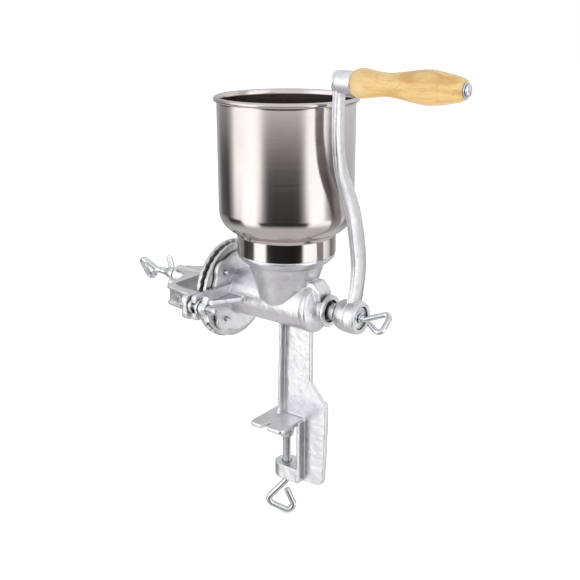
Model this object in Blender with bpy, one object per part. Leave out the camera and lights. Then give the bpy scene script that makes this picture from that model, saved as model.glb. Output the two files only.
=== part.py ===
"""Hand-crank grain mill: deep hopper, burrs, bridge, crank and table clamp.

Units are metres and +Z is up.  The origin is the middle of the upper jaw's underside, where the
table top's upper face rests; the hopper's axis passes through it.  +X runs along the shaft towards
the crank, and the burrs are at the -X end.  Shapes on the shaft are drawn from the shaft's axis.
"""
import math

import bpy
import bmesh
from mathutils import Vector

TAU = 2.0 * math.pi

# ------------------------------------------------------------------ clearances
GAP = 0.0003              # between pieces that touch
RUN = 0.0003              # radial, round a turning shaft
THREAD_FIT = 0.0003       # radial, between a screw and its thread
SCREW_FIT = 0.00045       # radial, round a countersunk screw
SLIP = 0.0005             # radial, hopper's collar to the neck's spigot, and tail to its bores
SINK = 0.002              # how far joined shapes run into each other
THROUGH = 0.004           # how far a cut runs past a face

# ------------------------------------------------------------------ overall
SHAFT_Z = 0.122           # shaft's axis above the upper jaw's underside
CRANK_RADIUS = 0.2157     # shaft's axis to the grip's axis
CRANK_LEAN = math.radians(7.2)    # the crank at rest, from upright towards -Y

# ------------------------------------------------------------------ hopper
HOPPER_R = 0.0635
HOPPER_WALL = 0.0011
HOPPER_WALL_HEIGHT = 0.1014       # from the shoulder to the rim's bead
SHOULDER_R = 0.0220
COLLAR_R = 0.0468
COLLAR_HEIGHT = 0.0172
COLLAR_TO_SHOULDER = 0.0240       # from the collar's top to the straight wall's foot
BEAD_R = 0.0024
BEAD_OUT = 0.0007                 # the bead's centre outside the wall

# ------------------------------------------------------------------ barrel
BARREL_R = 0.0230
BARREL_WALL = 0.0025
BARREL_END_X = 0.0305             # where the groove beside the end ring starts
GROOVE = 0.0010                   # groove's depth and the ring's rise
RING_WIDTH = 0.0060
BORE_END_X = 0.0330
BOSS_WALL = 0.0030                # bearing boss, round the journal's bore
BOSS_LENGTH = 0.0060
BOSS_CONE = 0.0050                # from the ring down to the boss
MOUTH_FLANGE_T = 0.0035
MOUTH_RECESS = 0.0022             # radial, the bearing bore's wider mouth
MOUTH_RECESS_DEPTH = 0.0040
MOUTH_WALL = 0.0048               # round the wider mouth

# ------------------------------------------------------------------ neck, heights from the shaft's axis
NECK_Z = 0.0505                   # ledge that the collar stands on
LEDGE_R = 0.0462
LEDGE_T = 0.0030
NECK_R = 0.0365                   # under the ledge
NECK_WAIST_R = 0.0315
NECK_FOOT_R = 0.0260
NECK_WALL = 0.0035
FEED_R = 0.0170                   # hole from the neck into the barrel
SPIGOT_HEIGHT = 0.0120
SPIGOT_WALL = 0.0028
BOSS_GUSSET_W = 0.0190            # lump between the neck and the bearing boss

# ------------------------------------------------------------------ burr flange and burrs
FLANGE_FACE_X = -0.0620
FLANGE_T = 0.0050
FLANGE_R = 0.0410
LOBE_R = 0.0115
LOBE_CIRCLE = 0.0345
BURR_SCREW_CIRCLE = 0.0340
BURR_SCREWS = 4
SCREW_R = 0.0020
SCREW_HEAD_R = 0.0039
SCREW_NUB = 0.0045                # how far the burr screws stick out behind the flange
FIXED_BURR_R = 0.0483
BURR_T = 0.0028                   # without the teeth
TOOTH_HEIGHT = 0.0012
TEETH = 36
GRIND_GAP = 0.0023                # between the burrs' teeth at rest
ROTATING_BURR_R = 0.0500
CARRIER_R = 0.0360
CARRIER_T = 0.0040
CARRIER_HUB_R = 0.0125
CARRIER_HUB_LENGTH = 0.0120
CARRIER_SCREW_CIRCLE = 0.0270
BUTTON_SEAT = 0.0040              # how deep the thrust button sits in the hub
BUTTON_LENGTH = 0.0050            # outside the hub
PIN_R = 0.0020

# ------------------------------------------------------------------ auger
JOURNAL_R = 0.0082
CORE_R = 0.0092
TAIL_R = 0.0073
FLIGHT_CLEAR = 0.0013             # radial, flight to bore
FLIGHT_PITCH = 0.0260
FLIGHT_ROOT_T = 0.0052
FLIGHT_TIP_T = 0.0028
FLOAT = 0.0035                    # the auger's room to move towards the crank
SQUARE_SIDE = 0.0110
SQUARE_FIT = 0.0003
SHAFT_HOLE_DEPTH = 0.0145

# ------------------------------------------------------------------ ears and bridge
EAR_FACE_X = -0.0590
EAR_T = 0.0058
EAR_HEIGHT = 0.0250
EAR_TIP = 0.0060                  # beyond the stud's axis
STUD_Y = 0.0660
SLOT_WIDTH = 0.0100
SLOT_SEAT = 0.0010                # stud's axis beyond the slot's round end
EAR_GUSSET_T = 0.0050
EAR_GUSSET_REACH = 0.0250         # along the barrel
BRIDGE_EAR_GAP = 0.0050           # between the body's ears and the bridge's
BRIDGE_EAR_T = 0.0068
BRIDGE_EAR_LOW = 0.0135
BRIDGE_EAR_HIGH = 0.0105
BRIDGE_EAR_TIP = 0.0070
BRIDGE_ARM_SET = 0.0045           # arm's outside, inside the stud's axis
BRIDGE_CLEAR = 0.0015             # round the rotating burr
BRIDGE_HEIGHT = 0.0190
BRIDGE_RIB = 0.0030
BRIDGE_RECESS = 0.0020
BRIDGE_INNER_X = -0.1050
BRIDGE_CORNER_R = 0.0055
BRIDGE_BOSS_R = 0.0105
BRIDGE_BOSS_X = -0.1440
BRIDGE_BACK_T = 0.0055            # thickness beside the corner

# ------------------------------------------------------------------ screws, studs and nuts
ADJUST_R = 0.0040
ADJUST_WIRE_R = 0.0033
ADJUST_APEX_X = -0.1745
ADJUST_EYE_HALF = 0.0170
ADJUST_EYE_LENGTH = 0.0185
ADJUST_EYE_TURN = math.radians(118.0)
LOCK_NUT_BACKED = 0.0035          # how far the lock nut is backed off at rest
LOCK_NUT_R = 0.0070
LOCK_NUT_LENGTH = 0.0100
LOCK_WING_SPAN = 0.0185
STUD_R = 0.0039
STUD_COLLAR_R = 0.0070
STUD_HEAD_R = 0.0062
STUD_HEAD_T = 0.0040
STUD_TAIL = 0.0095                # beyond the wing nut
WASHER_R = 0.0085
WASHER_T = 0.0016
WING_NUT_R = 0.0065
WING_NUT_LENGTH = 0.0075
WING_SPAN = 0.0128
WING_T = 0.0026
CRANK_SCREW_R = 0.0030
CRANK_WIRE_R = 0.0027
CRANK_SHOULDER_R = 0.0046
CRANK_SHOULDER_T = 0.0016
CRANK_EYE_HALF = 0.0126
CRANK_EYE_LENGTH = 0.0222
CRANK_EYE_TURN = math.radians(31.1)
CRANK_WASHER_T = 0.0012

# ------------------------------------------------------------------ crank and grip
ARM_RIM_CLEAR = 0.0064            # arm's back to the hopper's rim, at least
HUB_MOUTH_CLEAR = 0.0020          # crank's hub to the bearing's mouth, at least
ARM_T = 0.0070
ARM_FOOT_W = 0.0200
ARM_TIP_W = 0.0130
ARM_SWAY = 0.0152                 # how far the arm bends from a straight line
ARM_CURVE = ((0.0, 0.0), (0.148, 0.79), (0.264, 1.0), (0.464, 0.63),
             (0.630, -0.25), (0.751, -0.46), (0.862, -0.33), (1.0, 0.0))  # shares of radius and sway
ARM_BEVEL = 0.0020
HUB_BACK = 0.0130                 # behind the arm's back
HUB_BACK_R = 0.0092
HUB_R = 0.0160
HUB_FRONT = 0.0065                # in front of the arm
HUB_DISH_R = 0.0108
HUB_DISH_DEPTH = 0.0035
HANDLE_BOSS_R = 0.0095
HANDLE_BOSS_LENGTH = 0.0182
BOSS_PROUD = 0.0004               # handle boss behind the arm's back
GRIP_LENGTH = 0.0990
GRIP_NOSE_R = 0.0105
GRIP_BEAD_R = 0.0123
GRIP_WAIST_R = 0.0097
GRIP_BELLY_R = 0.0137
GRIP_TAIL_R = 0.0080
GRIP_FIT = 0.0005                 # radial, grip round its rivet
RIVET_R = 0.0038
RIVET_HEAD_R = 0.0050
RIVET_HEAD_T = 0.0022
RIVET_WASHER_R = 0.0065
RIVET_WASHER_T = 0.0010

# ------------------------------------------------------------------ post and clamp, heights from the origin
POST_T = 0.0033
POST_HALF = 0.0100
POST_FOOT_HALF = 0.0126
POST_TOP_X = -0.0018
POST_FOOT_X = -0.0044
WEB_T = 0.0060
WEB_X = 0.0305                    # the web's edge under the barrel
WEB_WIDE_X = 0.0495               # the web's edge beside the clamp
WEB_STEP_Z = 0.0435               # where the widening starts
WEB_WIDE_Z = 0.0210               # where it ends
WEB_CORNER_R = 0.0085
WEB_LOW = 0.0005                  # below the lug
JAW_T = 0.0045
JAW_FRONT_X = -0.0150
JAW_HALF = 0.0410
JAW_NOTCH_X = 0.0030
JAW_NOTCH_HALF = 0.0038
JAW_NOTCH_DEPTH = 0.0125
JAW_BACK_SET = 0.0009             # the jaw's back edge, inside the spine's back
THROAT_X = 0.0204                 # the throat's back
THROAT_HEIGHT = 0.0508
SPINE_T = 0.0045
SPINE_HALF = 0.0122
LUG_R = 0.0120
LUG_HEIGHT = 0.0152
PAD_R = 0.0078
PAD_HEIGHT = 0.0105
PAD_Z = -0.0120                   # pad's face at rest
PAD_SOCKET = 0.0050
CLAMP_R = 0.0042
CLAMP_WIRE_R = 0.0032
CLAMP_UP = 0.0048                 # shank under the lug, so how far the screw can rise
CLAMP_EYE_TURN = math.radians(37.0)

# ------------------------------------------------------------------ worked out from the sizes
BORE_R = BARREL_R - BARREL_WALL
FLIGHT_R = BORE_R - FLIGHT_CLEAR
JOURNAL_BORE_R = JOURNAL_R + RUN
BOSS_R = JOURNAL_BORE_R + BOSS_WALL
MOUTH_FLANGE_R = JOURNAL_BORE_R + MOUTH_RECESS + MOUTH_WALL
TAIL_BORE_R = TAIL_R + SLIP
SPIGOT_R = COLLAR_R - HOPPER_WALL - SLIP
RING_X = BARREL_END_X + 0.0015
BOSS_X = RING_X + RING_WIDTH + BOSS_CONE
MOUTH_X = BOSS_X + BOSS_LENGTH + MOUTH_FLANGE_T
FIXED_BURR_X = FLANGE_FACE_X - GAP
FIXED_FACE_X = FIXED_BURR_X - BURR_T
ROTATING_TOOTH_X = FIXED_FACE_X - TOOTH_HEIGHT - GRIND_GAP
ROTATING_FACE_X = ROTATING_TOOTH_X - TOOTH_HEIGHT
ROTATING_BACK_X = ROTATING_FACE_X - BURR_T
CARRIER_X = ROTATING_BACK_X - GAP
CARRIER_BACK_X = CARRIER_X - CARRIER_T
CARRIER_END_X = CARRIER_BACK_X - CARRIER_HUB_LENGTH
TAIL_END_X = CARRIER_END_X + BUTTON_SEAT
PIN_X = (CARRIER_BACK_X + TAIL_END_X) / 2.0
BUTTON_X = TAIL_END_X - GAP
BUTTON_END_X = CARRIER_END_X - BUTTON_LENGTH
WORM_END_X = BORE_END_X - FLOAT
EAR_BACK_X = EAR_FACE_X + EAR_T
EAR_TIP_Y = STUD_Y + EAR_TIP
BRIDGE_EAR_X = EAR_FACE_X - BRIDGE_EAR_GAP
BRIDGE_EAR_BACK_X = BRIDGE_EAR_X - BRIDGE_EAR_T
BRIDGE_INNER_Y = ROTATING_BURR_R + BRIDGE_CLEAR
BRIDGE_OUTER_Y = STUD_Y - BRIDGE_ARM_SET
LOCK_NUT_X = BRIDGE_BOSS_X - LOCK_NUT_BACKED
WASHER_X = EAR_BACK_X + GAP
WING_NUT_X = WASHER_X + WASHER_T + GAP
STUD_END_X = WING_NUT_X + WING_NUT_LENGTH + STUD_TAIL
RIM_R = HOPPER_R + BEAD_OUT + BEAD_R
ARM_BACK_X = max(RIM_R + ARM_RIM_CLEAR, MOUTH_X + HUB_MOUTH_CLEAR + HUB_BACK)
ARM_FRONT_X = ARM_BACK_X + ARM_T
HUB_BACK_X = ARM_BACK_X - HUB_BACK
HUB_FRONT_X = ARM_FRONT_X + HUB_FRONT
DISH_X = HUB_FRONT_X - HUB_DISH_DEPTH
SQUARE_END_X = DISH_X - 2.0 * GAP
CRANK_WASHER_X = DISH_X + GAP
CRANK_SHOULDER_X = CRANK_WASHER_X + CRANK_WASHER_T + GAP
HANDLE_BACK_X = ARM_BACK_X - BOSS_PROUD
HANDLE_FACE_X = ARM_BACK_X + HANDLE_BOSS_LENGTH
GRIP_X = HANDLE_FACE_X + GAP
GRIP_END_X = GRIP_X + GRIP_LENGTH
RIVET_WASHER_X = GRIP_END_X + GAP
RIVET_HEAD_X = RIVET_WASHER_X + RIVET_WASHER_T + GAP
JAW_TOP_Z = JAW_T
SPINE_X = THROAT_X + SPINE_T
LUG_TOP_Z = -THROAT_HEIGHT
LUG_FOOT_Z = LUG_TOP_Z - LUG_HEIGHT

FINISHES = {
    "tinned_iron": ((0.62, 0.63, 0.65), 0.38, 0.9),
    "hopper_steel": ((0.34, 0.31, 0.30), 0.24, 1.0),
    "zinc_steel": ((0.66, 0.68, 0.71), 0.22, 1.0),
    "burr_iron": ((0.45, 0.45, 0.46), 0.45, 0.9),
    "wood": ((0.72, 0.50, 0.24), 0.55, 0.0),
}


# ------------------------------------------------------------------ outlines
def fillet(before, here, after, radius, steps):
    """Points that round the corner at `here`."""
    back = (before - here).normalized()
    ahead = (after - here).normalized()
    half = back.angle(ahead) / 2.0
    reach = radius / math.tan(half)
    centre = here + (back + ahead).normalized() * (radius / math.sin(half))
    first = here + back * reach - centre
    last = here + ahead * reach - centre
    swing = math.pi - 2.0 * half
    points = []
    for step in range(steps + 1):
        angle = swing * step / steps
        points.append(centre + (first * math.sin(swing - angle) + last * math.sin(angle)) / math.sin(swing))
    return points


def rounded(corners, closed=True, steps=4):
    """A 2-D outline; a corner given as (a, b, radius) is rounded."""
    points = []
    count = len(corners)
    for index, corner in enumerate(corners):
        here = Vector(corner[:2])
        if len(corner) == 2:
            points.append(here)
            continue
        before = Vector(corners[index - 1][:2])
        after = Vector(corners[(index + 1) % count][:2])
        points += fillet(before, here, after, corner[2], steps)
    return points


def mirrored(corners):
    """The same corners with the second coordinate's sign changed, in reverse order."""
    return [(corner[0], -corner[1], *corner[2:]) for corner in reversed(corners)]


def offset(points, distance):
    """An open path moved to its left by a distance."""
    moved = []
    last = len(points) - 1
    for index, point in enumerate(points):
        along = (points[min(index + 1, last)] - points[max(index - 1, 0)]).normalized()
        moved.append(point + Vector((-along.y, along.x)) * distance)
    return moved


def arc(centre, radius, start, end, steps):
    """Points along an arc; the angles are in degrees."""
    angles = [math.radians(start + (end - start) * step / steps) for step in range(steps + 1)]
    return [(centre[0] + radius * math.cos(angle), centre[1] + radius * math.sin(angle)) for angle in angles]


def spline(points, steps):
    """A smooth curve through points (Catmull-Rom)."""
    knots = [Vector(point) for point in points]
    knots = [2.0 * knots[0] - knots[1]] + knots + [2.0 * knots[-1] - knots[-2]]
    curve = []
    for index in range(1, len(knots) - 2):
        before, start, end, after = knots[index - 1:index + 3]
        for step in range(steps):
            t = step / steps
            curve.append(0.5 * (2.0 * start + (end - before) * t
                                + (2.0 * before - 5.0 * start + 4.0 * end - after) * t ** 2
                                + (3.0 * start - before - 3.0 * end + after) * t ** 3))
    curve.append(knots[-2])
    return curve


# ------------------------------------------------------------------ shapes
def skinned(rings, looped=False):
    """A body whose skin runs through rings of points; unless it is looped, its ends are capped."""
    shape = bmesh.new()
    loops = [[shape.verts.new(point) for point in ring] for ring in rings]
    pairs = list(zip(loops, loops[1:]))
    if looped:
        pairs.append((loops[-1], loops[0]))
    else:
        shape.faces.new(loops[0])
        shape.faces.new(loops[-1])
    for near, far in pairs:
        for index in range(len(near)):
            after = (index + 1) % len(near)
            shape.faces.new((near[index], near[after], far[after], far[index]))
    bmesh.ops.recalc_face_normals(shape, faces=shape.faces)
    return shape


def circle(along, radius, axis, segments, centre=(0.0, 0.0)):
    """A ring of points round an axis along X or Z."""
    points = []
    for index in range(segments):
        angle = TAU * (index + 0.3) / segments
        across = centre[0] + radius * math.cos(angle)
        up = centre[1] + radius * math.sin(angle)
        points.append((along, across, up) if axis == "X" else (across, up, along))
    return points


def turned(profile, axis="X", segments=48, centre=(0.0, 0.0), looped=False):
    """A turned body; its profile holds (along, radius), and a looped one is a ring."""
    return skinned([circle(along, radius, axis, segments, centre) for along, radius in profile], looped)


def ring_body(start, end, outer, inner, axis="X", segments=32, centre=(0.0, 0.0)):
    """A washer or a tube."""
    profile = [(start, outer), (end, outer), (end, inner), (start, inner)]
    return turned(profile, axis, segments, centre, looped=True)


def prism(points, low, high, axis):
    """A flat outline given a thickness along X, Y or Z."""
    def level(height):
        if axis == "X":
            return [(height, a, b) for a, b in points]
        if axis == "Y":
            return [(a, height, b) for a, b in points]
        return [(a, b, height) for a, b in points]
    return skinned([level(low), level(high)])


def wire(path, radii, sides=12):
    """Round wire along a path of 3-D points, with a radius at each."""
    rings = []
    last = len(path) - 1
    side = (path[1] - path[0]).orthogonal()
    for index, point in enumerate(path):
        along = (path[min(index + 1, last)] - path[max(index - 1, 0)]).normalized()
        side = (side - along * side.dot(along)).normalized()
        other = along.cross(side)
        angles = [TAU * step / sides for step in range(sides)]
        rings.append([point + (side * math.cos(a) + other * math.sin(a)) * radii[index] for a in angles])
    return skinned(rings)


# ------------------------------------------------------------------ objects
def clear_scene():
    for item in list(bpy.data.objects):
        bpy.data.objects.remove(item, do_unlink=True)


def finish_material(name):
    """The named finish, made once."""
    if name in bpy.data.materials:
        return bpy.data.materials[name]
    colour, roughness, metallic = FINISHES[name]
    made = bpy.data.materials.new(name)
    made.use_nodes = True
    shader = made.node_tree.nodes["Principled BSDF"]
    shader.inputs["Base Color"].default_value = (*colour, 1.0)
    shader.inputs["Roughness"].default_value = roughness
    shader.inputs["Metallic"].default_value = metallic
    return made


def add_object(name, shape, finish, parent, at=(0.0, 0.0, 0.0)):
    """A named object under a parent, smooth where it is round."""
    mesh = bpy.data.meshes.new(name)
    shape.to_mesh(mesh)
    shape.free()
    mesh.materials.append(finish_material(finish))
    mesh.shade_smooth()
    mesh.set_sharp_from_angle(angle=math.radians(35.0))
    item = bpy.data.objects.new(name, mesh)
    bpy.context.scene.collection.objects.link(item)
    item.parent = parent
    item.location = at
    return item


def add_empty(name, at, lean=0.0, parent=None):
    item = bpy.data.objects.new(name, None)
    bpy.context.scene.collection.objects.link(item)
    item.location = at
    item.rotation_euler = (lean, 0.0, 0.0)
    item.parent = parent
    return item


def work(item, operation, shapes):
    """Join shapes to a body, or cut them from it."""
    for shape in shapes:
        name = item.name + "_" + operation.lower() + "_" + str(len(item.modifiers))
        tool = add_object(name, shape, item.data.materials[0].name, item)
        tool.hide_render = True
        tool.display_type = "WIRE"
        step = item.modifiers.new(name, "BOOLEAN")
        step.operation = operation
        step.object = tool


# ------------------------------------------------------------------ body casting
def barrel_shape():
    groove_r = BARREL_R - GROOVE
    ring_r = BARREL_R + GROOVE
    profile = [
        (FLANGE_FACE_X + SINK, BARREL_R),
        (BARREL_END_X, BARREL_R),
        (BARREL_END_X + GROOVE / 2.0, groove_r),
        (RING_X, groove_r),
        (RING_X + GROOVE, ring_r),
        (RING_X + RING_WIDTH - GROOVE, ring_r),
        (RING_X + RING_WIDTH, ring_r - GROOVE),
        (BOSS_X, BOSS_R),
        (BOSS_X + BOSS_LENGTH, BOSS_R),
        (BOSS_X + BOSS_LENGTH, MOUTH_FLANGE_R),
        (MOUTH_X, MOUTH_FLANGE_R),
    ]
    return turned(profile, segments=56)


def neck_shape():
    under = NECK_Z - LEDGE_T
    profile = [
        (0.0, NECK_FOOT_R - 0.004),
        (0.006, NECK_FOOT_R),
        (BARREL_R + 0.001, NECK_WAIST_R),
        (under - 0.0075, NECK_R),
        (under - 0.0050, (NECK_R + LEDGE_R) / 2.0),
        (under, LEDGE_R),
        (NECK_Z, LEDGE_R),
        (NECK_Z, SPIGOT_R),
        (NECK_Z + SPIGOT_HEIGHT, SPIGOT_R),
    ]
    return turned(profile, "Z", 56)


def lobed_radius(angle):
    """The burr flange's edge: a disc with a lobe round each screw."""
    step = TAU / BURR_SCREWS
    away = (angle % step) - step / 2.0
    reach = LOBE_R ** 2 - (LOBE_CIRCLE * math.sin(away)) ** 2
    if reach <= 0.0:
        return FLANGE_R
    return max(FLANGE_R, LOBE_CIRCLE * math.cos(away) + math.sqrt(reach))


def flange_shape(steps=96):
    points = []
    for index in range(steps):
        angle = TAU * (index + 0.5) / steps
        radius = lobed_radius(angle)
        points.append((radius * math.cos(angle), radius * math.sin(angle)))
    return prism(points, FLANGE_FACE_X, FLANGE_FACE_X + FLANGE_T, "X")


def ears_shape():
    """A bar across the barrel with an open slot at each end."""
    half = EAR_HEIGHT / 2.0
    slot = SLOT_WIDTH / 2.0
    seat = STUD_Y - SLOT_SEAT
    right = [(EAR_TIP_Y, -half, 0.003), (EAR_TIP_Y, -slot)]
    right += arc((seat, 0.0), slot, 270.0, 90.0, 8)
    right += [(EAR_TIP_Y, slot), (EAR_TIP_Y, half, 0.003)]
    left = [(-corner[0], -corner[1], *corner[2:]) for corner in right]
    return prism(rounded(right + left), EAR_FACE_X, EAR_BACK_X, "X")


def ear_gusset_shapes():
    shapes = []
    half = EAR_GUSSET_T / 2.0
    inner = BARREL_R - SINK
    for side in (-1.0, 1.0):
        points = [
            (EAR_FACE_X + SINK, side * inner),
            (EAR_FACE_X + SINK, side * (STUD_Y - 0.0140)),
            (EAR_BACK_X, side * (STUD_Y - 0.0140)),
            (EAR_FACE_X + EAR_GUSSET_REACH, side * inner),
        ]
        shapes.append(prism(points, -half, half, "Z"))
    return shapes


def boss_gusset_shape():
    half = BOSS_GUSSET_W / 2.0
    top = BARREL_R + 0.0035
    corners = [
        (BARREL_END_X - 0.0105, BOSS_R - SINK),
        (BARREL_END_X - 0.0105, top),
        (RING_X + RING_WIDTH, top, 0.003),
        (BOSS_X + 0.0025, BARREL_R - 0.004, 0.004),
        (BOSS_X + 0.0035, BOSS_R - SINK),
    ]
    return prism(rounded(corners), -half, half, "Y")


def post_shape():
    """The plate across the web's front edge, which flares at its foot."""
    foot = POST_FOOT_X
    sections = [
        (JAW_TOP_Z - SINK - SHAFT_Z, foot, POST_FOOT_HALF),
        (JAW_TOP_Z + 0.0065 - SHAFT_Z, foot + 0.0002, POST_HALF),
        (-BORE_R + 0.0050, POST_TOP_X, POST_HALF),
    ]
    rings = []
    for height, front, half in sections:
        back = front + POST_T
        corners = ((front, -half), (back, -half), (back, half), (front, half))
        rings.append([(x, y, height) for x, y in corners])
    return skinned(rings)


def web_shape():
    """The upright plate from the barrel to the clamp's lug, round the back of the throat."""
    half = WEB_T / 2.0
    foot = LUG_FOOT_Z - WEB_LOW - SHAFT_Z
    inside = THROAT_X + SPINE_T / 2.0
    corners = [
        (POST_TOP_X + SINK, -BORE_R + 0.0070),
        (WEB_X, -BORE_R + 0.0070),
        (WEB_X, WEB_STEP_Z - SHAFT_Z, 0.006),
        (WEB_WIDE_X, WEB_WIDE_Z - SHAFT_Z, 0.004),
        (WEB_WIDE_X - 0.0012, -0.5 * THROAT_HEIGHT - SHAFT_Z),
        (WEB_WIDE_X - 0.0032, foot, WEB_CORNER_R),
        (inside, foot),
        (inside, JAW_TOP_Z / 2.0 - SHAFT_Z),
        (POST_FOOT_X + SINK, JAW_TOP_Z / 2.0 - SHAFT_Z),
    ]
    return prism(rounded(corners), -half, half, "Y")


def jaw_shape():
    """The upper jaw, with a notch in the middle of each end."""
    right = [
        (JAW_FRONT_X, JAW_HALF, 0.004),
        (JAW_NOTCH_X - JAW_NOTCH_HALF, JAW_HALF),
        (JAW_NOTCH_X, JAW_HALF - JAW_NOTCH_DEPTH, 0.001),
        (JAW_NOTCH_X + JAW_NOTCH_HALF, JAW_HALF),
        (SPINE_X - JAW_BACK_SET, JAW_HALF, 0.004),
    ]
    return prism(rounded(right + mirrored(right)), -SHAFT_Z, JAW_TOP_Z - SHAFT_Z, "Z")


def spine_shape():
    """The flange behind the throat."""
    top = JAW_TOP_Z / 2.0 - SHAFT_Z
    foot = LUG_FOOT_Z + 0.0012 - SHAFT_Z
    corners = [(THROAT_X, top), (SPINE_X, top), (SPINE_X, foot, 0.0040), (THROAT_X, foot)]
    return prism(rounded(corners), -SPINE_HALF, SPINE_HALF, "Y")


def lug_shape():
    """The lower jaw, which holds the clamp screw."""
    corners = [(SPINE_X - SPINE_T / 2.0, -LUG_R)]
    corners += arc((0.0, 0.0), LUG_R, 270.0, 90.0, 16)
    corners += [(SPINE_X - SPINE_T / 2.0, LUG_R)]
    return prism(corners, LUG_FOOT_Z - SHAFT_Z, LUG_TOP_Z - SHAFT_Z, "Z")


def bore_shape():
    profile = [
        (FLANGE_FACE_X - THROUGH, BORE_R),
        (BORE_END_X, BORE_R),
        (BORE_END_X + 0.0040, JOURNAL_BORE_R),
        (MOUTH_X - MOUTH_RECESS_DEPTH, JOURNAL_BORE_R),
        (MOUTH_X - MOUTH_RECESS_DEPTH, JOURNAL_BORE_R + MOUTH_RECESS),
        (MOUTH_X + THROUGH, JOURNAL_BORE_R + MOUTH_RECESS),
    ]
    return turned(profile, segments=56)


def funnel_shape():
    """The neck's inside."""
    under = NECK_Z - LEDGE_T
    inner = SPIGOT_R - SPIGOT_WALL
    profile = [
        (SINK, FEED_R - 0.001),
        (0.008, FEED_R),
        (BARREL_R + 0.001, NECK_WAIST_R - NECK_WALL),
        (under - 0.0075, NECK_R - NECK_WALL),
        (NECK_Z + 0.0015, inner - 0.0015),
        (NECK_Z + SPIGOT_HEIGHT + THROUGH, inner),
    ]
    return turned(profile, "Z", 56)


def burr_screw_places():
    angles = [TAU * (index + 0.5) / BURR_SCREWS for index in range(BURR_SCREWS)]
    return [(BURR_SCREW_CIRCLE * math.cos(angle), BURR_SCREW_CIRCLE * math.sin(angle)) for angle in angles]


def make_body(parent):
    body = add_object("body_casting", barrel_shape(), "tinned_iron", parent)
    joined = [neck_shape(), flange_shape(), ears_shape(), *ear_gusset_shapes(), boss_gusset_shape()]
    joined += [jaw_shape(), post_shape(), web_shape(), spine_shape(), lug_shape()]
    work(body, "UNION", joined)
    thread_r = CLAMP_R + THREAD_FIT
    thread = [(LUG_FOOT_Z - THROUGH - SHAFT_Z, thread_r), (LUG_TOP_Z + THROUGH - SHAFT_Z, thread_r)]
    cuts = [bore_shape(), funnel_shape(), turned(thread, "Z", 24)]
    for place in burr_screw_places():
        hole = [(FLANGE_FACE_X - THROUGH, SCREW_R + GAP), (FLANGE_FACE_X + FLANGE_T + THROUGH, SCREW_R + GAP)]
        cuts.append(turned(hole, segments=16, centre=place))
    work(body, "DIFFERENCE", cuts)


# ------------------------------------------------------------------ hopper
def hopper_skin(inset):
    """One face of the sheet, from the collar's foot up to the bead, as (height, radius)."""
    foot = NECK_Z + GAP
    wall_foot = foot + COLLAR_HEIGHT + COLLAR_TO_SHOULDER
    middle = HOPPER_R - SHOULDER_R
    curve = arc((middle, wall_foot), SHOULDER_R - inset, -70.0, 0.0, 7)
    skin = [(foot, COLLAR_R - inset), (foot + COLLAR_HEIGHT, COLLAR_R - inset)]
    skin += [(height, radius) for radius, height in curve]
    return skin


def make_hopper(parent):
    outside = hopper_skin(0.0)
    bead_z = outside[-1][0] + HOPPER_WALL_HEIGHT
    bead = arc((HOPPER_R + BEAD_OUT, bead_z), BEAD_R, -80.0, 205.0, 8)
    profile = outside + [(height, radius) for radius, height in bead] + hopper_skin(HOPPER_WALL)[::-1]
    add_object("hopper", turned(profile, "Z", 56, looped=True), "hopper_steel", parent)


# ------------------------------------------------------------------ burrs, carrier and auger
def toothed_disc(back, face, tip, outer, inner):
    """A ring with radial teeth on one face."""
    segments = 2 * TEETH

    def edge(radius, toothed):
        ring = circle(face if toothed else back, radius, "X", segments)
        return [(tip if toothed and index % 2 else x, y, z) for index, (x, y, z) in enumerate(ring)]

    return skinned([edge(outer, False), edge(outer, True), edge(inner, True), edge(inner, False)], True)


def countersunk(head_x, end_x, grow=0.0, past=0.0):
    """A countersunk screw with its head towards -X, or the hole for one."""
    return [
        (head_x - past, SCREW_HEAD_R + grow + past),
        (head_x + SCREW_HEAD_R - SCREW_R, SCREW_R + grow),
        (end_x + past, SCREW_R + grow),
    ]


def make_fixed_burr(parent):
    shape = toothed_disc(FIXED_BURR_X, FIXED_FACE_X, FIXED_FACE_X - TOOTH_HEIGHT, FIXED_BURR_R, BORE_R)
    burr = add_object("fixed_burr", shape, "burr_iron", parent)
    end = FLANGE_FACE_X + FLANGE_T + SCREW_NUB
    for number, place in enumerate(burr_screw_places(), 1):
        hole = countersunk(FIXED_FACE_X, end, SCREW_FIT, THROUGH)
        work(burr, "DIFFERENCE", [turned(hole, segments=16, centre=place)])
        screw = turned(countersunk(FIXED_FACE_X, end), segments=16, centre=place)
        add_object("fixed_burr_screw_" + str(number), screw, "zinc_steel", parent)


def carrier_screw_places():
    return [(0.0, CARRIER_SCREW_CIRCLE), (0.0, -CARRIER_SCREW_CIRCLE)]


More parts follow.
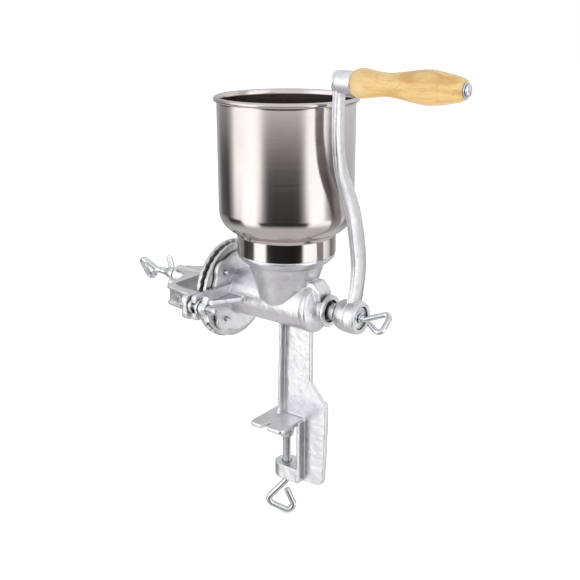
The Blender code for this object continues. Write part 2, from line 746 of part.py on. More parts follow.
def make_rotating_burr(parent):
    """The rotating burr, the carrier it is screwed to, and the pin that drives both."""
    shape = toothed_disc(ROTATING_BACK_X, ROTATING_FACE_X, ROTATING_TOOTH_X, ROTATING_BURR_R, TAIL_BORE_R)
    burr = add_object("rotating_burr", shape, "burr_iron", parent)
    profile = [
        (CARRIER_X, CARRIER_R),
        (CARRIER_BACK_X, CARRIER_R),
        (CARRIER_BACK_X, CARRIER_HUB_R),
        (CARRIER_END_X, CARRIER_HUB_R),
        (CARRIER_END_X, TAIL_BORE_R),
        (CARRIER_X, TAIL_BORE_R),
    ]
    carrier = add_object("burr_carrier", turned(profile, looped=True), "burr_iron", parent)
    work(carrier, "DIFFERENCE", [pin_shape(CARRIER_HUB_R + THROUGH, PIN_R + GAP)])
    for number, place in enumerate(carrier_screw_places(), 1):
        hole = countersunk(CARRIER_BACK_X, ROTATING_TOOTH_X, SCREW_FIT, THROUGH)
        work(carrier, "DIFFERENCE", [turned(hole, segments=16, centre=place)])
        work(burr, "DIFFERENCE", [turned(hole, segments=16, centre=place)])
        screw = turned(countersunk(CARRIER_BACK_X, ROTATING_FACE_X), segments=16, centre=place)
        add_object("carrier_screw_" + str(number), screw, "zinc_steel", parent)
    add_object("drive_pin", pin_shape(CARRIER_HUB_R - GAP, PIN_R), "zinc_steel", parent)


def pin_shape(half, radius):
    return turned([(-half, radius), (half, radius)], "Z", 16, (PIN_X, 0.0))


def flight_shape(turn_steps=24):
    """The auger's left-hand screw: a ribbon wound round the core."""
    length = WORM_END_X - FLANGE_FACE_X - SINK - FLIGHT_ROOT_T
    steps = int(turn_steps * length / FLIGHT_PITCH)
    root = CORE_R - SINK / 2.0
    wide = FLIGHT_ROOT_T / 2.0
    narrow = FLIGHT_TIP_T / 2.0
    rings = []
    for step in range(steps + 1):
        angle = TAU * step / turn_steps
        x = FLANGE_FACE_X + SINK + (FLIGHT_ROOT_T + FLIGHT_PITCH * step / turn_steps)
        across = Vector((0.0, math.cos(angle), -math.sin(angle)))
        section = [(-wide, root), (-narrow, FLIGHT_R), (narrow, FLIGHT_R), (wide, root)]
        rings.append([Vector((x + side, 0.0, 0.0)) + across * radius for side, radius in section])
    return skinned(rings)


def make_auger(parent):
    worm_x = FLANGE_FACE_X + SINK
    profile = [
        (TAIL_END_X, TAIL_R),
        (worm_x, TAIL_R),
        (worm_x + 0.002, CORE_R),
        (WORM_END_X - 0.002, CORE_R),
        (WORM_END_X, JOURNAL_R),
        (HUB_BACK_X - 2.0 * GAP, JOURNAL_R),
    ]
    auger = add_object("auger", turned(profile, segments=40), "tinned_iron", parent)
    half = SQUARE_SIDE / 2.0
    square = [(-half, -half), (half, -half), (half, half), (-half, half)]
    work(auger, "UNION", [prism(square, HUB_BACK_X - THROUGH, SQUARE_END_X, "X"), flight_shape()])
    thread_r = CRANK_SCREW_R + THREAD_FIT
    thread = [(SQUARE_END_X - SHAFT_HOLE_DEPTH, thread_r), (SQUARE_END_X + THROUGH, thread_r)]
    work(auger, "DIFFERENCE", [turned(thread, segments=20), pin_shape(TAIL_R + THROUGH, PIN_R + GAP)])


def make_thrust_button(parent):
    profile = [(BUTTON_X, TAIL_R), (BUTTON_END_X + 0.001, TAIL_R), (BUTTON_END_X, TAIL_R - 0.0015)]
    add_object("thrust_button", turned(profile, segments=32), "zinc_steel", parent)


# ------------------------------------------------------------------ bridge
def bridge_outside():
    """The outer edge of one arm, from its ear to the boss."""
    return [
        (BRIDGE_EAR_X - SINK, BRIDGE_OUTER_Y),
        (BRIDGE_INNER_X + 0.0230, BRIDGE_OUTER_Y - 0.0005),
        (BRIDGE_INNER_X - 0.0010, BRIDGE_OUTER_Y - 0.0050, BRIDGE_CORNER_R),
        (BRIDGE_INNER_X - BRIDGE_BACK_T, 0.0380, 0.0150),
        (BRIDGE_INNER_X - 0.0110, 0.0220, 0.0150),
        (BRIDGE_INNER_X - 0.0230, BRIDGE_BOSS_R + 0.0010, 0.0150),
        (BRIDGE_BOSS_X + 0.0060, BRIDGE_BOSS_R - 0.0020),
    ]


def bridge_inside():
    return [
        (BRIDGE_EAR_X - SINK, BRIDGE_INNER_Y),
        (BRIDGE_INNER_X + 0.0210, BRIDGE_INNER_Y, 0.0100),
        (BRIDGE_INNER_X, BRIDGE_INNER_Y - 0.0050, BRIDGE_CORNER_R),
    ]


def bridge_recess_shapes():
    """What makes each arm a channel: a cut round the outside between two ribs."""
    half = BRIDGE_HEIGHT / 2.0 - BRIDGE_RIB
    shapes = []
    for side in (1.0, -1.0):
        edge = rounded(bridge_outside(), steps=3)
        points = offset(edge, BRIDGE_RECESS) + offset(edge, -THROUGH)[::-1]
        shapes.append(prism([(x, side * y) for x, y in points], -half, half, "Z"))
    return shapes


def bridge_ear_shape(side):
    corners = [
        (side * BRIDGE_INNER_Y, -BRIDGE_EAR_LOW, 0.003),
        (side * (STUD_Y + BRIDGE_EAR_TIP), -BRIDGE_EAR_LOW, 0.005),
        (side * (STUD_Y + BRIDGE_EAR_TIP), BRIDGE_EAR_HIGH, 0.005),
        (side * BRIDGE_INNER_Y, BRIDGE_EAR_HIGH, 0.003),
    ]
    return prism(rounded(corners), BRIDGE_EAR_BACK_X, BRIDGE_EAR_X, "X")


def make_bridge(parent):
    half = BRIDGE_HEIGHT / 2.0
    corners = bridge_outside() + mirrored(bridge_outside())
    corners += [(x, -y, *more) for x, y, *more in bridge_inside()] + bridge_inside()[::-1]
    bridge = add_object("bridge", prism(rounded(corners), -half, half, "Z"), "tinned_iron", parent)
    work(bridge, "DIFFERENCE", bridge_recess_shapes())
    boss = [(BRIDGE_INNER_X - SINK / 2.0, BRIDGE_BOSS_R), (BRIDGE_BOSS_X + 0.001, BRIDGE_BOSS_R),
            (BRIDGE_BOSS_X, BRIDGE_BOSS_R - 0.001)]
    work(bridge, "UNION", [turned(boss), bridge_ear_shape(1.0), bridge_ear_shape(-1.0)])
    thread_r = ADJUST_R + THREAD_FIT
    thread = [(BRIDGE_BOSS_X - THROUGH, thread_r), (BRIDGE_INNER_X + THROUGH, thread_r)]
    work(bridge, "DIFFERENCE", [turned(thread, segments=24)])
    for side in (1.0, -1.0):
        hole = [(BRIDGE_EAR_BACK_X - THROUGH, STUD_R + GAP), (BRIDGE_EAR_X + THROUGH, STUD_R + GAP)]
        work(bridge, "DIFFERENCE", [turned(hole, segments=24, centre=(side * STUD_Y, 0.0))])


def make_stud(name, parent, side):
    """A shouldered stud, riveted into the bridge's ear."""
    profile = [
        (BRIDGE_EAR_BACK_X - GAP - STUD_HEAD_T, STUD_HEAD_R - 0.0012),
        (BRIDGE_EAR_BACK_X - GAP - STUD_HEAD_T + 0.0012, STUD_HEAD_R),
        (BRIDGE_EAR_BACK_X - GAP, STUD_HEAD_R),
        (BRIDGE_EAR_BACK_X - GAP, STUD_R),
        (BRIDGE_EAR_X + GAP, STUD_R),
        (BRIDGE_EAR_X + GAP, STUD_COLLAR_R),
        (EAR_FACE_X - GAP, STUD_COLLAR_R),
        (EAR_FACE_X - GAP, STUD_R),
        (STUD_END_X - 0.0030, STUD_R),
        (STUD_END_X, STUD_R * 0.45),
    ]
    add_object(name, turned(profile, segments=24), "zinc_steel", parent, (0.0, side * STUD_Y, 0.0))


# ------------------------------------------------------------------ wing nuts and washers
def wing_nut_shape_half(length, span, flare):
    """One wing's outline: distance from the nut's face, and distance from its axis."""
    return [
        (0.12 * length, 0.30 * span),
        (0.28 * length, 0.68 * span),
        (0.52 * length, span, 0.0018),
        (length + flare, span, 0.0018),
        (length + 0.1 * flare, 0.50 * span),
        (0.92 * length, 0.30 * span),
    ]


def make_wing_nut(name, parent, at, facing, sizes, bore_r):
    """A wing nut whose face is at the origin; `facing` is +1 for a body that runs towards +X."""
    radius, length, span, flare = sizes
    profile = [
        (0.0, radius),
        (facing * 0.45 * length, radius),
        (facing * length, 0.8 * radius),
    ]
    nut = add_object(name, turned(profile, segments=32), "tinned_iron", parent, at)
    wing = [(facing * along, *more) for along, *more in wing_nut_shape_half(length, span, flare)]
    outline = rounded(wing + mirrored(wing))
    work(nut, "UNION", [prism(outline, -WING_T / 2.0, WING_T / 2.0, "Y")])
    bore = [(-facing * THROUGH, bore_r), (facing * (length + THROUGH), bore_r)]
    work(nut, "DIFFERENCE", [turned(bore, segments=24)])


def make_stud_nuts(parent):
    for name, side in (("near", -1.0), ("far", 1.0)):
        washer = ring_body(0.0, WASHER_T, WASHER_R, STUD_R + THREAD_FIT, segments=24)
        add_object("stud_washer_" + name, washer, "zinc_steel", parent, (WASHER_X, side * STUD_Y, 0.0))
        sizes = (WING_NUT_R, WING_NUT_LENGTH, WING_SPAN, 0.0035)
        at = (WING_NUT_X, side * STUD_Y, 0.0)
        make_wing_nut("stud_wing_nut_" + name, parent, at, 1.0, sizes, STUD_R + THREAD_FIT)


def make_lock_nut(parent):
    sizes = (LOCK_NUT_R, LOCK_NUT_LENGTH, LOCK_WING_SPAN, 0.0035)
    make_wing_nut("lock_wing_nut", parent, (LOCK_NUT_X, 0.0, 0.0), -1.0, sizes, ADJUST_R + THREAD_FIT)


# ------------------------------------------------------------------ wire screws
def bent(corners, radius, steps=5):
    """A path through 3-D corners, with every inner corner rounded."""
    path = [corners[0]]
    for before, here, after in zip(corners, corners[1:], corners[2:]):
        path += fillet(before, here, after, radius, steps)
    path.append(corners[-1])
    return path


def eye_corners(apex, size, turn, heading, wire_r):
    """Corners of a three-sided eye bent at the end of a screw that lies along X."""
    length, half = size
    across = Vector((0.0, math.cos(turn), math.sin(turn)))
    start = Vector((apex, 0.0, 0.0))
    far = start + Vector((heading * length, 0.0, 0.0))
    back = far - across * half
    short = 1.0 - 2.7 * wire_r / (back - start).length
    return [start, far + across * half, back, back.lerp(start, short)]


def make_adjusting_screw(parent):
    tip = BUTTON_END_X - GAP
    corners = [Vector((ADJUST_APEX_X + ADJUST_R * 1.6, 0.0, 0.0))]
    size = (ADJUST_EYE_LENGTH, ADJUST_EYE_HALF)
    corners += eye_corners(ADJUST_APEX_X, size, ADJUST_EYE_TURN, -1.0, ADJUST_WIRE_R)
    eye = bent(corners, 1.5 * ADJUST_WIRE_R)
    shank = [(tip, 0.7 * ADJUST_R), (tip - 0.0012, ADJUST_R), (eye[0].x + 0.0040, ADJUST_R)]
    path = [Vector((x, 0.0, 0.0)) for x, radius in shank] + eye
    radii = [radius for x, radius in shank] + [ADJUST_WIRE_R] * len(eye)
    add_object("adjusting_screw", wire(path, radii, 16), "zinc_steel", parent)


def make_crank_screw(parent):
    tip = SQUARE_END_X - SHAFT_HOLE_DEPTH + 0.0010
    apex = CRANK_SHOULDER_X + CRANK_SHOULDER_T + 0.0035
    corners = [Vector((apex - 0.0028, 0.0, 0.0))]
    size = (CRANK_EYE_LENGTH, CRANK_EYE_HALF)
    corners += eye_corners(apex, size, CRANK_EYE_TURN, 1.0, CRANK_WIRE_R)
    eye = bent(corners, 1.5 * CRANK_WIRE_R)
    shank = [
        (tip, 0.7 * CRANK_SCREW_R),
        (tip + 0.0008, CRANK_SCREW_R),
        (CRANK_SHOULDER_X - 0.00001, CRANK_SCREW_R),
        (CRANK_SHOULDER_X, CRANK_SHOULDER_R),
        (CRANK_SHOULDER_X + CRANK_SHOULDER_T - 0.0003, CRANK_SHOULDER_R),
    ]
    path = [Vector((x, 0.0, 0.0)) for x, radius in shank] + eye
    radii = [radius for x, radius in shank] + [CRANK_WIRE_R] * len(eye)
    add_object("crank_screw", wire(path, radii, 16), "zinc_steel", parent)
    washer = ring_body(CRANK_WASHER_X, CRANK_WASHER_X + CRANK_WASHER_T, HUB_DISH_R - 2.0 * GAP,
                       CRANK_SCREW_R + THREAD_FIT)
    add_object("crank_washer", washer, "zinc_steel", parent)


def make_clamp(parent):
    """The clamp screw, with a skewed eye to turn it by, and the pad that swivels on its tip."""
    foot = PAD_Z - PAD_HEIGHT
    pad = [
        (PAD_Z, PAD_R - 0.0010),
        (PAD_Z - 0.0010, PAD_R),
        (PAD_Z - 0.0060, PAD_R),
        (foot, PAD_R - 0.0012),
        (foot, CLAMP_R + THREAD_FIT),
        (foot + PAD_SOCKET, CLAMP_R + THREAD_FIT),
    ]
    add_object("clamp_pad", turned(pad, "Z", 32), "tinned_iron", parent)
    across = Vector((math.cos(CLAMP_EYE_TURN), math.sin(CLAMP_EYE_TURN), 0.0))
    start = LUG_FOOT_Z - CLAMP_UP
    hand = [(0.0, 0.0), (0.0, -0.0030), (-0.0225, -0.0272), (0.0122, -0.0450), (0.0002, -0.0143)]
    corners = [across * out + Vector((0.0, 0.0, start + drop)) for out, drop in hand]
    eye = bent(corners, 2.0 * CLAMP_WIRE_R, 8)
    tip = foot + PAD_SOCKET - GAP
    shank = [(tip, 0.8 * CLAMP_R), (tip - 0.0009, CLAMP_R), (start + 0.0030, CLAMP_R)]
    path = [Vector((0.0, 0.0, z)) for z, radius in shank] + eye
    radii = [radius for z, radius in shank] + [CLAMP_WIRE_R] * len(eye)
    add_object("clamp_screw", wire(path, radii, 16), "zinc_steel", parent)


# ------------------------------------------------------------------ crank and grip
def arm_width(share):
    """The arm narrows over its middle half."""
    t = min(1.0, max(0.0, (share - 0.3) / 0.5))
    return ARM_FOOT_W + (ARM_TIP_W - ARM_FOOT_W) * t * t * (3.0 - 2.0 * t)


def arm_shape():
    """The S-shaped arm, from the shaft's axis to the grip's."""
    line = spline([(sway * ARM_SWAY, share * CRANK_RADIUS) for share, sway in ARM_CURVE], 4)
    rings = []
    last = len(line) - 1
    for index, point in enumerate(line):
        along = (line[min(index + 1, last)] - line[max(index - 1, 0)]).normalized()
        across = Vector((0.0, along.y, -along.x))
        middle = Vector((0.0, point.x, point.y))
        half = arm_width(point.y / CRANK_RADIUS) / 2.0
        rings.append([middle + across * out + Vector((x, 0.0, 0.0)) for out, x in arm_section(half)])
    return skinned(rings)


def arm_section(half):
    """Flat behind, and bevelled in front."""
    corners = [(-half, ARM_BACK_X + 0.0006), (-half, ARM_FRONT_X, ARM_BEVEL), (half, ARM_FRONT_X, ARM_BEVEL),
               (half, ARM_BACK_X + 0.0006), (half - 0.0006, ARM_BACK_X), (0.0006 - half, ARM_BACK_X)]
    return rounded(corners, steps=2)


def hub_shape():
    profile = [
        (HUB_BACK_X, HUB_BACK_R),
        (HUB_BACK_X + 0.0030, HUB_R - 0.0030),
        (HUB_BACK_X + 0.0090, HUB_R - 0.0007),
        (ARM_BACK_X + 0.0020, HUB_R),
        (ARM_FRONT_X + 0.0020, HUB_R),
        (HUB_FRONT_X, HUB_R - 0.0018),
    ]
    return turned(profile)


def make_crank(parent):
    crank = add_object("crank_arm", arm_shape(), "tinned_iron", parent)
    at_grip = (0.0, CRANK_RADIUS)
    boss = [(HANDLE_BACK_X, HANDLE_BOSS_R), (HANDLE_FACE_X - 0.0008, HANDLE_BOSS_R),
            (HANDLE_FACE_X, HANDLE_BOSS_R - 0.0008)]
    work(crank, "UNION", [hub_shape(), turned(boss, segments=40, centre=at_grip)])
    half = SQUARE_SIDE / 2.0 + SQUARE_FIT
    square = [(-half, -half), (half, -half), (half, half), (-half, half)]
    dish = [(DISH_X, HUB_DISH_R), (HUB_FRONT_X + THROUGH, HUB_DISH_R)]
    hole = [(HANDLE_BACK_X - THROUGH, RIVET_R + GAP), (HANDLE_FACE_X + THROUGH, RIVET_R + GAP)]
    cuts = [prism(square, HUB_BACK_X - THROUGH, HUB_FRONT_X + THROUGH, "X"), turned(dish)]
    work(crank, "DIFFERENCE", cuts + [turned(hole, segments=24, centre=at_grip)])


def make_grip(parent):
    """The turned grip, with the rivet it spins on and the washer at its end."""
    shape = [(0.0, GRIP_NOSE_R), (0.055, GRIP_BEAD_R), (0.110, GRIP_BEAD_R - 0.0003),
             (0.33, GRIP_WAIST_R), (0.64, GRIP_BELLY_R), (0.77, GRIP_BELLY_R - 0.0005),
             (0.945, GRIP_TAIL_R + 0.0020), (1.0, GRIP_TAIL_R)]
    outside = spline([(GRIP_X + share * GRIP_LENGTH, radius) for share, radius in shape], 2)
    profile = [tuple(point) for point in outside]
    bore_r = RIVET_R + GRIP_FIT
    profile += [(GRIP_END_X, bore_r), (GRIP_X, bore_r)]
    add_object("handle_grip", turned(profile, segments=32, looped=True), "wood", parent)
    rivet = [
        (HANDLE_BACK_X - GAP - RIVET_HEAD_T, RIVET_HEAD_R - 0.0010),
        (HANDLE_BACK_X - GAP - RIVET_HEAD_T / 2.0, RIVET_HEAD_R),
        (HANDLE_BACK_X - GAP, RIVET_HEAD_R),
        (HANDLE_BACK_X - GAP, RIVET_R),
        (RIVET_HEAD_X, RIVET_R),
        (RIVET_HEAD_X, RIVET_HEAD_R),
        (RIVET_HEAD_X + RIVET_HEAD_T / 2.0, RIVET_HEAD_R),
        (RIVET_HEAD_X + RIVET_HEAD_T, RIVET_HEAD_R - 0.0012),
    ]
    add_object("handle_rivet", turned(rivet, segments=24), "zinc_steel", parent)
    washer = ring_body(RIVET_WASHER_X, RIVET_WASHER_X + RIVET_WASHER_T, RIVET_WASHER_R, RIVET_R + GAP)
    add_object("handle_washer", washer, "zinc_steel", parent)


def main():
    clear_scene()
    shaft = add_empty("shaft_axis", (0.0, 0.0, SHAFT_Z))
    make_body(shaft)
    make_hopper(shaft)
    make_fixed_burr(shaft)
    make_bridge(shaft)
    make_stud("bridge_stud_near", shaft, -1.0)
    make_stud("bridge_stud_far", shaft, 1.0)
    make_stud_nuts(shaft)
    make_thrust_button(shaft)
    make_adjusting_screw(shaft)
    make_lock_nut(shaft)
    make_clamp(None)
    crank_axis = add_empty("crank_axis", (0.0, 0.0, SHAFT_Z), CRANK_LEAN)
    make_auger(crank_axis)
    make_rotating_burr(crank_axis)
    make_crank(crank_axis)
    make_crank_screw(crank_axis)
    make_grip(add_empty("grip_axis", (0.0, 0.0, CRANK_RADIUS), parent=crank_axis))


main()
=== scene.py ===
import math

import bmesh
import bpy
from mathutils import Matrix, Vector


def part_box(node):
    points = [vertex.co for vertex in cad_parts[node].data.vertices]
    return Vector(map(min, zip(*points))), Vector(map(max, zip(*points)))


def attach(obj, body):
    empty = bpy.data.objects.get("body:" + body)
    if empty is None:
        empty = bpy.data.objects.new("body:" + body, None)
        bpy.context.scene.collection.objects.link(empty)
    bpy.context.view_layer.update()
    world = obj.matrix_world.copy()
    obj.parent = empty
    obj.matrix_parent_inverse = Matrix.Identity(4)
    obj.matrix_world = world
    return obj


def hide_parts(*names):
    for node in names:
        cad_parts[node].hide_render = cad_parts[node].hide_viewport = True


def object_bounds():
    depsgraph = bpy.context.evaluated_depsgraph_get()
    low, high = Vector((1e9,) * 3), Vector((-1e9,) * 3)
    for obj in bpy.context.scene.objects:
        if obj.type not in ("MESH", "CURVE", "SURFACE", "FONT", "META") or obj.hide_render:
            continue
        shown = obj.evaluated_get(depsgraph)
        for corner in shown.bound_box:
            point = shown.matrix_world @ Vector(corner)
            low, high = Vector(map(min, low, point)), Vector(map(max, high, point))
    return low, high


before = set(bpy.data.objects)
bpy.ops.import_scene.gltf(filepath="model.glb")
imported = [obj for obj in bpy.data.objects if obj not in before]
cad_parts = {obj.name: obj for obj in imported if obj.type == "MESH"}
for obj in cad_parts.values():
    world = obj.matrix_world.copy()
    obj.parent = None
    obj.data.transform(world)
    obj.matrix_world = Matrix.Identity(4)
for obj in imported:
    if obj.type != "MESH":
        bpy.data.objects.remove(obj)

TAU = 2.0 * math.pi
CAD_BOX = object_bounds()

# ------------------------------------------------------------------ sizes, in metres, as in the CAD
SHAFT_Z = 0.122
CRANK_RADIUS = 0.2157
CRANK_LEAN = math.radians(7.2)
ON_SHAFT = Matrix.Translation((0.0, 0.0, SHAFT_Z))
ON_CRANK = ON_SHAFT @ Matrix.Rotation(CRANK_LEAN, 4, "X")
ON_GRIP = ON_CRANK @ Matrix.Translation((0.0, 0.0, CRANK_RADIUS))
STUD_Y = 0.0660
CLAMP_TURN = math.radians(37.0)


# ------------------------------------------------------------------ outlines and paths
BEND_STEPS = 9                    # on each bend of a wire
SOFT_STEPS = 6                    # on each rounded corner of an outline
NEARLY_STRAIGHT = 0.995           # cosine of a corner too slight to round
SAME_POINT = 1e-6


def arc(centre, radius, start, end, steps):
    angles = [math.radians(start + (end - start) * step / steps) for step in range(steps + 1)]
    return [(centre[0] + radius * math.cos(a), centre[1] + radius * math.sin(a)) for a in angles]


def spline(points, steps):
    """A smooth curve through points (Catmull-Rom)."""
    knots = [Vector(point) for point in points]
    knots = [2.0 * knots[0] - knots[1]] + knots + [2.0 * knots[-1] - knots[-2]]
    curve = []
    for index in range(1, len(knots) - 2):
        before, start, end, after = knots[index - 1:index + 3]
        for step in range(steps):
            t = step / steps
            curve.append(0.5 * (2.0 * start + (end - before) * t
                                + (2.0 * before - 5.0 * start + 4.0 * end - after) * t ** 2
                                + (3.0 * start - before - 3.0 * end + after) * t ** 3))
    curve.append(knots[-2])
    return curve


def fillet(before, here, after, radius, steps):
    """Points that round the corner at `here`."""
    back = (before - here).normalized()
    ahead = (after - here).normalized()
    half = back.angle(ahead) / 2.0
    shorter = min((before - here).length, (after - here).length)
    reach = min(radius / math.tan(half), 0.49 * shorter)
    centre = here + (back + ahead).normalized() * (reach / math.cos(half))
    first = here + back * reach - centre
    last = here + ahead * reach - centre
    swing = math.pi - 2.0 * half
    points = []
    for step in range(steps + 1):
        angle = swing * step / steps
        turned_arm = first * math.sin(swing - angle) + last * math.sin(angle)
        points.append(centre + turned_arm / math.sin(swing))
    return points


def bent(corners, radius):
    """A path through 3-D corners, with every inner corner rounded."""
    path = [corners[0]]
    for before, here, after in zip(corners, corners[1:], corners[2:]):
        path += fillet(before, here, after, radius, BEND_STEPS)
    path.append(corners[-1])
    return path


def softened(profile, radius):
    """A (along, radius) outline with its inner corners rounded by up to `radius`."""
    points = [Vector(point) for point in profile]
    path = [points[0]]
    for before, here, after in zip(points, points[1:], points[2:]):
        if min((before - here).length, (after - here).length) < SAME_POINT:
            continue
        if (here - before).normalized().dot((after - here).normalized()) > NEARLY_STRAIGHT:
            path.append(here)
            continue
        path += fillet(before, here, after, radius, SOFT_STEPS)
    path.append(points[-1])
    return [tuple(point) for point in path]


# ------------------------------------------------------------------ mesh bodies
ROD_SIDES = 36
THREAD_FLANK = 2.6                # steepness of a thread's flanks


def add_mesh(name, verts, faces, place=None, crease=35.0):
    mesh = bpy.data.meshes.new(name)
    mesh.from_pydata([tuple(v) for v in verts], [], faces)
    if place is not None:
        mesh.transform(place)
    shape = bmesh.new()
    shape.from_mesh(mesh)
    bmesh.ops.recalc_face_normals(shape, faces=shape.faces)
    shape.to_mesh(mesh)
    shape.free()
    obj = bpy.data.objects.new(name, mesh)
    bpy.context.scene.collection.objects.link(obj)
    shade(obj, crease)
    return obj


def shade(obj, crease):
    obj.data.shade_smooth()
    obj.data.set_sharp_from_angle(angle=math.radians(crease))


def skinned(name, rings, looped=False, place=None, crease=35.0):
    """A body whose skin runs through rings of points; unless it is looped, its ends are capped."""
    count = len(rings[0])
    verts = [point for ring in rings for point in ring]
    faces = []
    pairs = [(index, index + 1) for index in range(len(rings) - 1)]
    if looped:
        pairs.append((len(rings) - 1, 0))
    for near, far in pairs:
        for index in range(count):
            after = (index + 1) % count
            near_edge = (near * count + index, near * count + after)
            faces.append(near_edge + (far * count + after, far * count + index))
    if not looped:
        faces.append(tuple(range(count)))
        faces.append(tuple(range((len(rings) - 1) * count, len(rings) * count)))
    return add_mesh(name, verts, faces, place, crease)


def turned(name, profile, axis="X", segments=96, looped=False, place=None, crease=35.0):
    """A turned body; its profile holds (along, radius), and a looped one is a ring."""
    rings = []
    for along, radius in profile:
        ring = []
        for index in range(segments):
            angle = TAU * index / segments
            a, b = radius * math.cos(angle), radius * math.sin(angle)
            ring.append((along, a, b) if axis == "X" else (a, b, along))
        rings.append(ring)
    return skinned(name, rings, looped, place, crease)


def rod(name, path, radii, thread, place=None):
    """Round rod along a path; thread is (start, end, pitch, depth) as distances along it."""
    start, end, pitch, depth = thread
    rings = []
    side = (path[1] - path[0]).orthogonal()
    run = 0.0
    last = len(path) - 1
    for index, point in enumerate(path):
        if index:
            run += (point - path[index - 1]).length
        along = (path[min(index + 1, last)] - path[max(index - 1, 0)]).normalized()
        side = (side - along * side.dot(along)).normalized()
        other = along.cross(side)
        ring = []
        for step in range(ROD_SIDES):
            angle = TAU * step / ROD_SIDES
            radius = radii[index]
            if start < run < end:
                fade = min(1.0, (run - start) / pitch, (end - run) / (2.0 * pitch))
                phase = (run / pitch - step / ROD_SIDES) % 1.0
                radius -= depth * fade * min(1.0, THREAD_FLANK * abs(phase - 0.5))
            ring.append(point + (side * math.cos(angle) + other * math.sin(angle)) * radius)
        rings.append(ring)
    return skinned(name, rings, place=place, crease=50.0)


def straight(start, end, step):
    """Points from start to end, at most a step apart, without the end itself."""
    count = max(1, math.ceil((end - start).length / step))
    return [start.lerp(end, index / count) for index in range(count)]


def baked(obj):
    """The object's modifiers become its mesh."""
    bpy.context.view_layer.update()
    graph = bpy.context.evaluated_depsgraph_get()
    result = bpy.data.meshes.new_from_object(obj.evaluated_get(graph))
    obj.modifiers.clear()
    obj.data = result


def copy_of(node, name):
    obj = bpy.data.objects.new(name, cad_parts[node].data.copy())
    obj.data.materials.clear()
    bpy.context.scene.collection.objects.link(obj)
    return obj


def bevelled(node, name, width):
    """A copy of a CAD node with its sharp edges rounded."""
    obj = copy_of(node, name)
    shape = bmesh.new()
    shape.from_mesh(obj.data)
    bmesh.ops.remove_doubles(shape, verts=shape.verts, dist=SAME_POINT)
    flat = math.radians(1.0)
    bmesh.ops.dissolve_limit(shape, angle_limit=flat, verts=shape.verts, edges=shape.edges)
    shape.to_mesh(obj.data)
    shape.free()
    bevel = obj.modifiers.new("bevel", "BEVEL")
    bevel.width = width
    bevel.segments = 2
    bevel.angle_limit = math.radians(32.0)
    baked(obj)
    shade(obj, 40.0)
    return obj


def clouds(name, size):
    texture = bpy.data.textures.new(name, "CLOUDS")
    texture.noise_scale = size
    texture.noise_depth = 2
    return texture


def recast(obj, voxel, passes, lumps=0.00018, lump_size=0.007):
    """Melts a body into one rounded skin, as a sand casting has, with slight lumps."""
    remesh = obj.modifiers.new("remesh", "REMESH")
    remesh.mode = "VOXEL"
    remesh.voxel_size = voxel
    smooth = obj.modifiers.new("smooth", "SMOOTH")
    smooth.factor = 0.5
    smooth.iterations = passes
    displace = obj.modifiers.new("lumps", "DISPLACE")
    displace.texture = clouds(obj.name + "_lumps", lump_size)
    displace.texture_coords = "GLOBAL"
    displace.strength = 2.0 * lumps
    displace.mid_level = 0.5
    baked(obj)
    shade(obj, 180.0)
    return obj


def joined(target, *others):
    """Adds other objects' meshes to target's, and removes them."""
    shape = bmesh.new()
    shape.from_mesh(target.data)
    for other in others:
        shape.from_mesh(other.data)
        bpy.data.objects.remove(other)
    shape.to_mesh(target.data)
    shape.free()
    return target


# ------------------------------------------------------------------ materials
WHITE = (1.0, 1.0, 1.0)
# painted shade: a ramp that turns ambient occlusion into darker colour in corners and creases
CREVICE_SHADE_STOPS = ((0.25, (0.16, 0.155, 0.15)), (0.62, (0.72, 0.72, 0.72)), (0.86, WHITE))
IRON_CREVICE_SHADE = 0.0040             # how far into the open a corner's darkness reaches
ZINC_CREVICE_SHADE = 0.0012
BLOTCH_SCALE = 70.0
LUMP_SCALE = 260.0
SAND_SCALE = 1300.0
DRAWN_SCALE = 1400.0
BRUSHED_SCALE = (14.0, 14.0, 2600.0)
GRAIN_SCALE = (5.0, 170.0, 170.0)
PORE_SCALE = (90.0, 1500.0, 1500.0)


class Nodes:
    """Adds and links the nodes of one tree."""

    def __init__(self, tree):
        self.tree = tree

    def add(self, kind, **values):
        node = self.tree.nodes.new(kind)
        for key, value in values.items():
            setattr(node, key, value)
        return node

    def link(self, output, socket):
        self.tree.links.new(output, socket)

    def plug(self, value, socket):
        """Links an output to a socket, or sets a plain number or colour on it."""
        if hasattr(value, "is_linked"):
            self.link(value, socket)
        else:
            socket.default_value = value

    def ramp(self, value, stops):
        node = self.add("ShaderNodeValToRGB")
        elements = node.color_ramp.elements
        while len(elements) < len(stops):
            elements.new(0.5)
        for element, (position, colour) in zip(elements, stops):
            element.position = position
            element.color = (*colour, 1.0)
        self.link(value, node.inputs["Fac"])
        return node.outputs["Color"]

    def span(self, value, low, high, to_low=0.0, to_high=1.0, kind="LINEAR"):
        node = self.add("ShaderNodeMapRange", interpolation_type=kind)
        limits = {"From Min": low, "From Max": high, "To Min": to_low, "To Max": to_high}
        for key, number in limits.items():
            node.inputs[key].default_value = number
        self.link(value, node.inputs["Value"])
        return node.outputs["Result"]

    def mix(self, factor, first, second, blend="MIX"):
        node = self.add("ShaderNodeMix", data_type="RGBA", blend_type=blend)
        for key, value in {"Factor": factor, "A": first, "B": second}.items():
            self.plug(value, node.inputs[key])
        return node.outputs["Result"]

    def math(self, operation, first, second):
        node = self.add("ShaderNodeMath", operation=operation)
        self.plug(first, node.inputs[0])
        self.plug(second, node.inputs[1])
        return node.outputs["Value"]


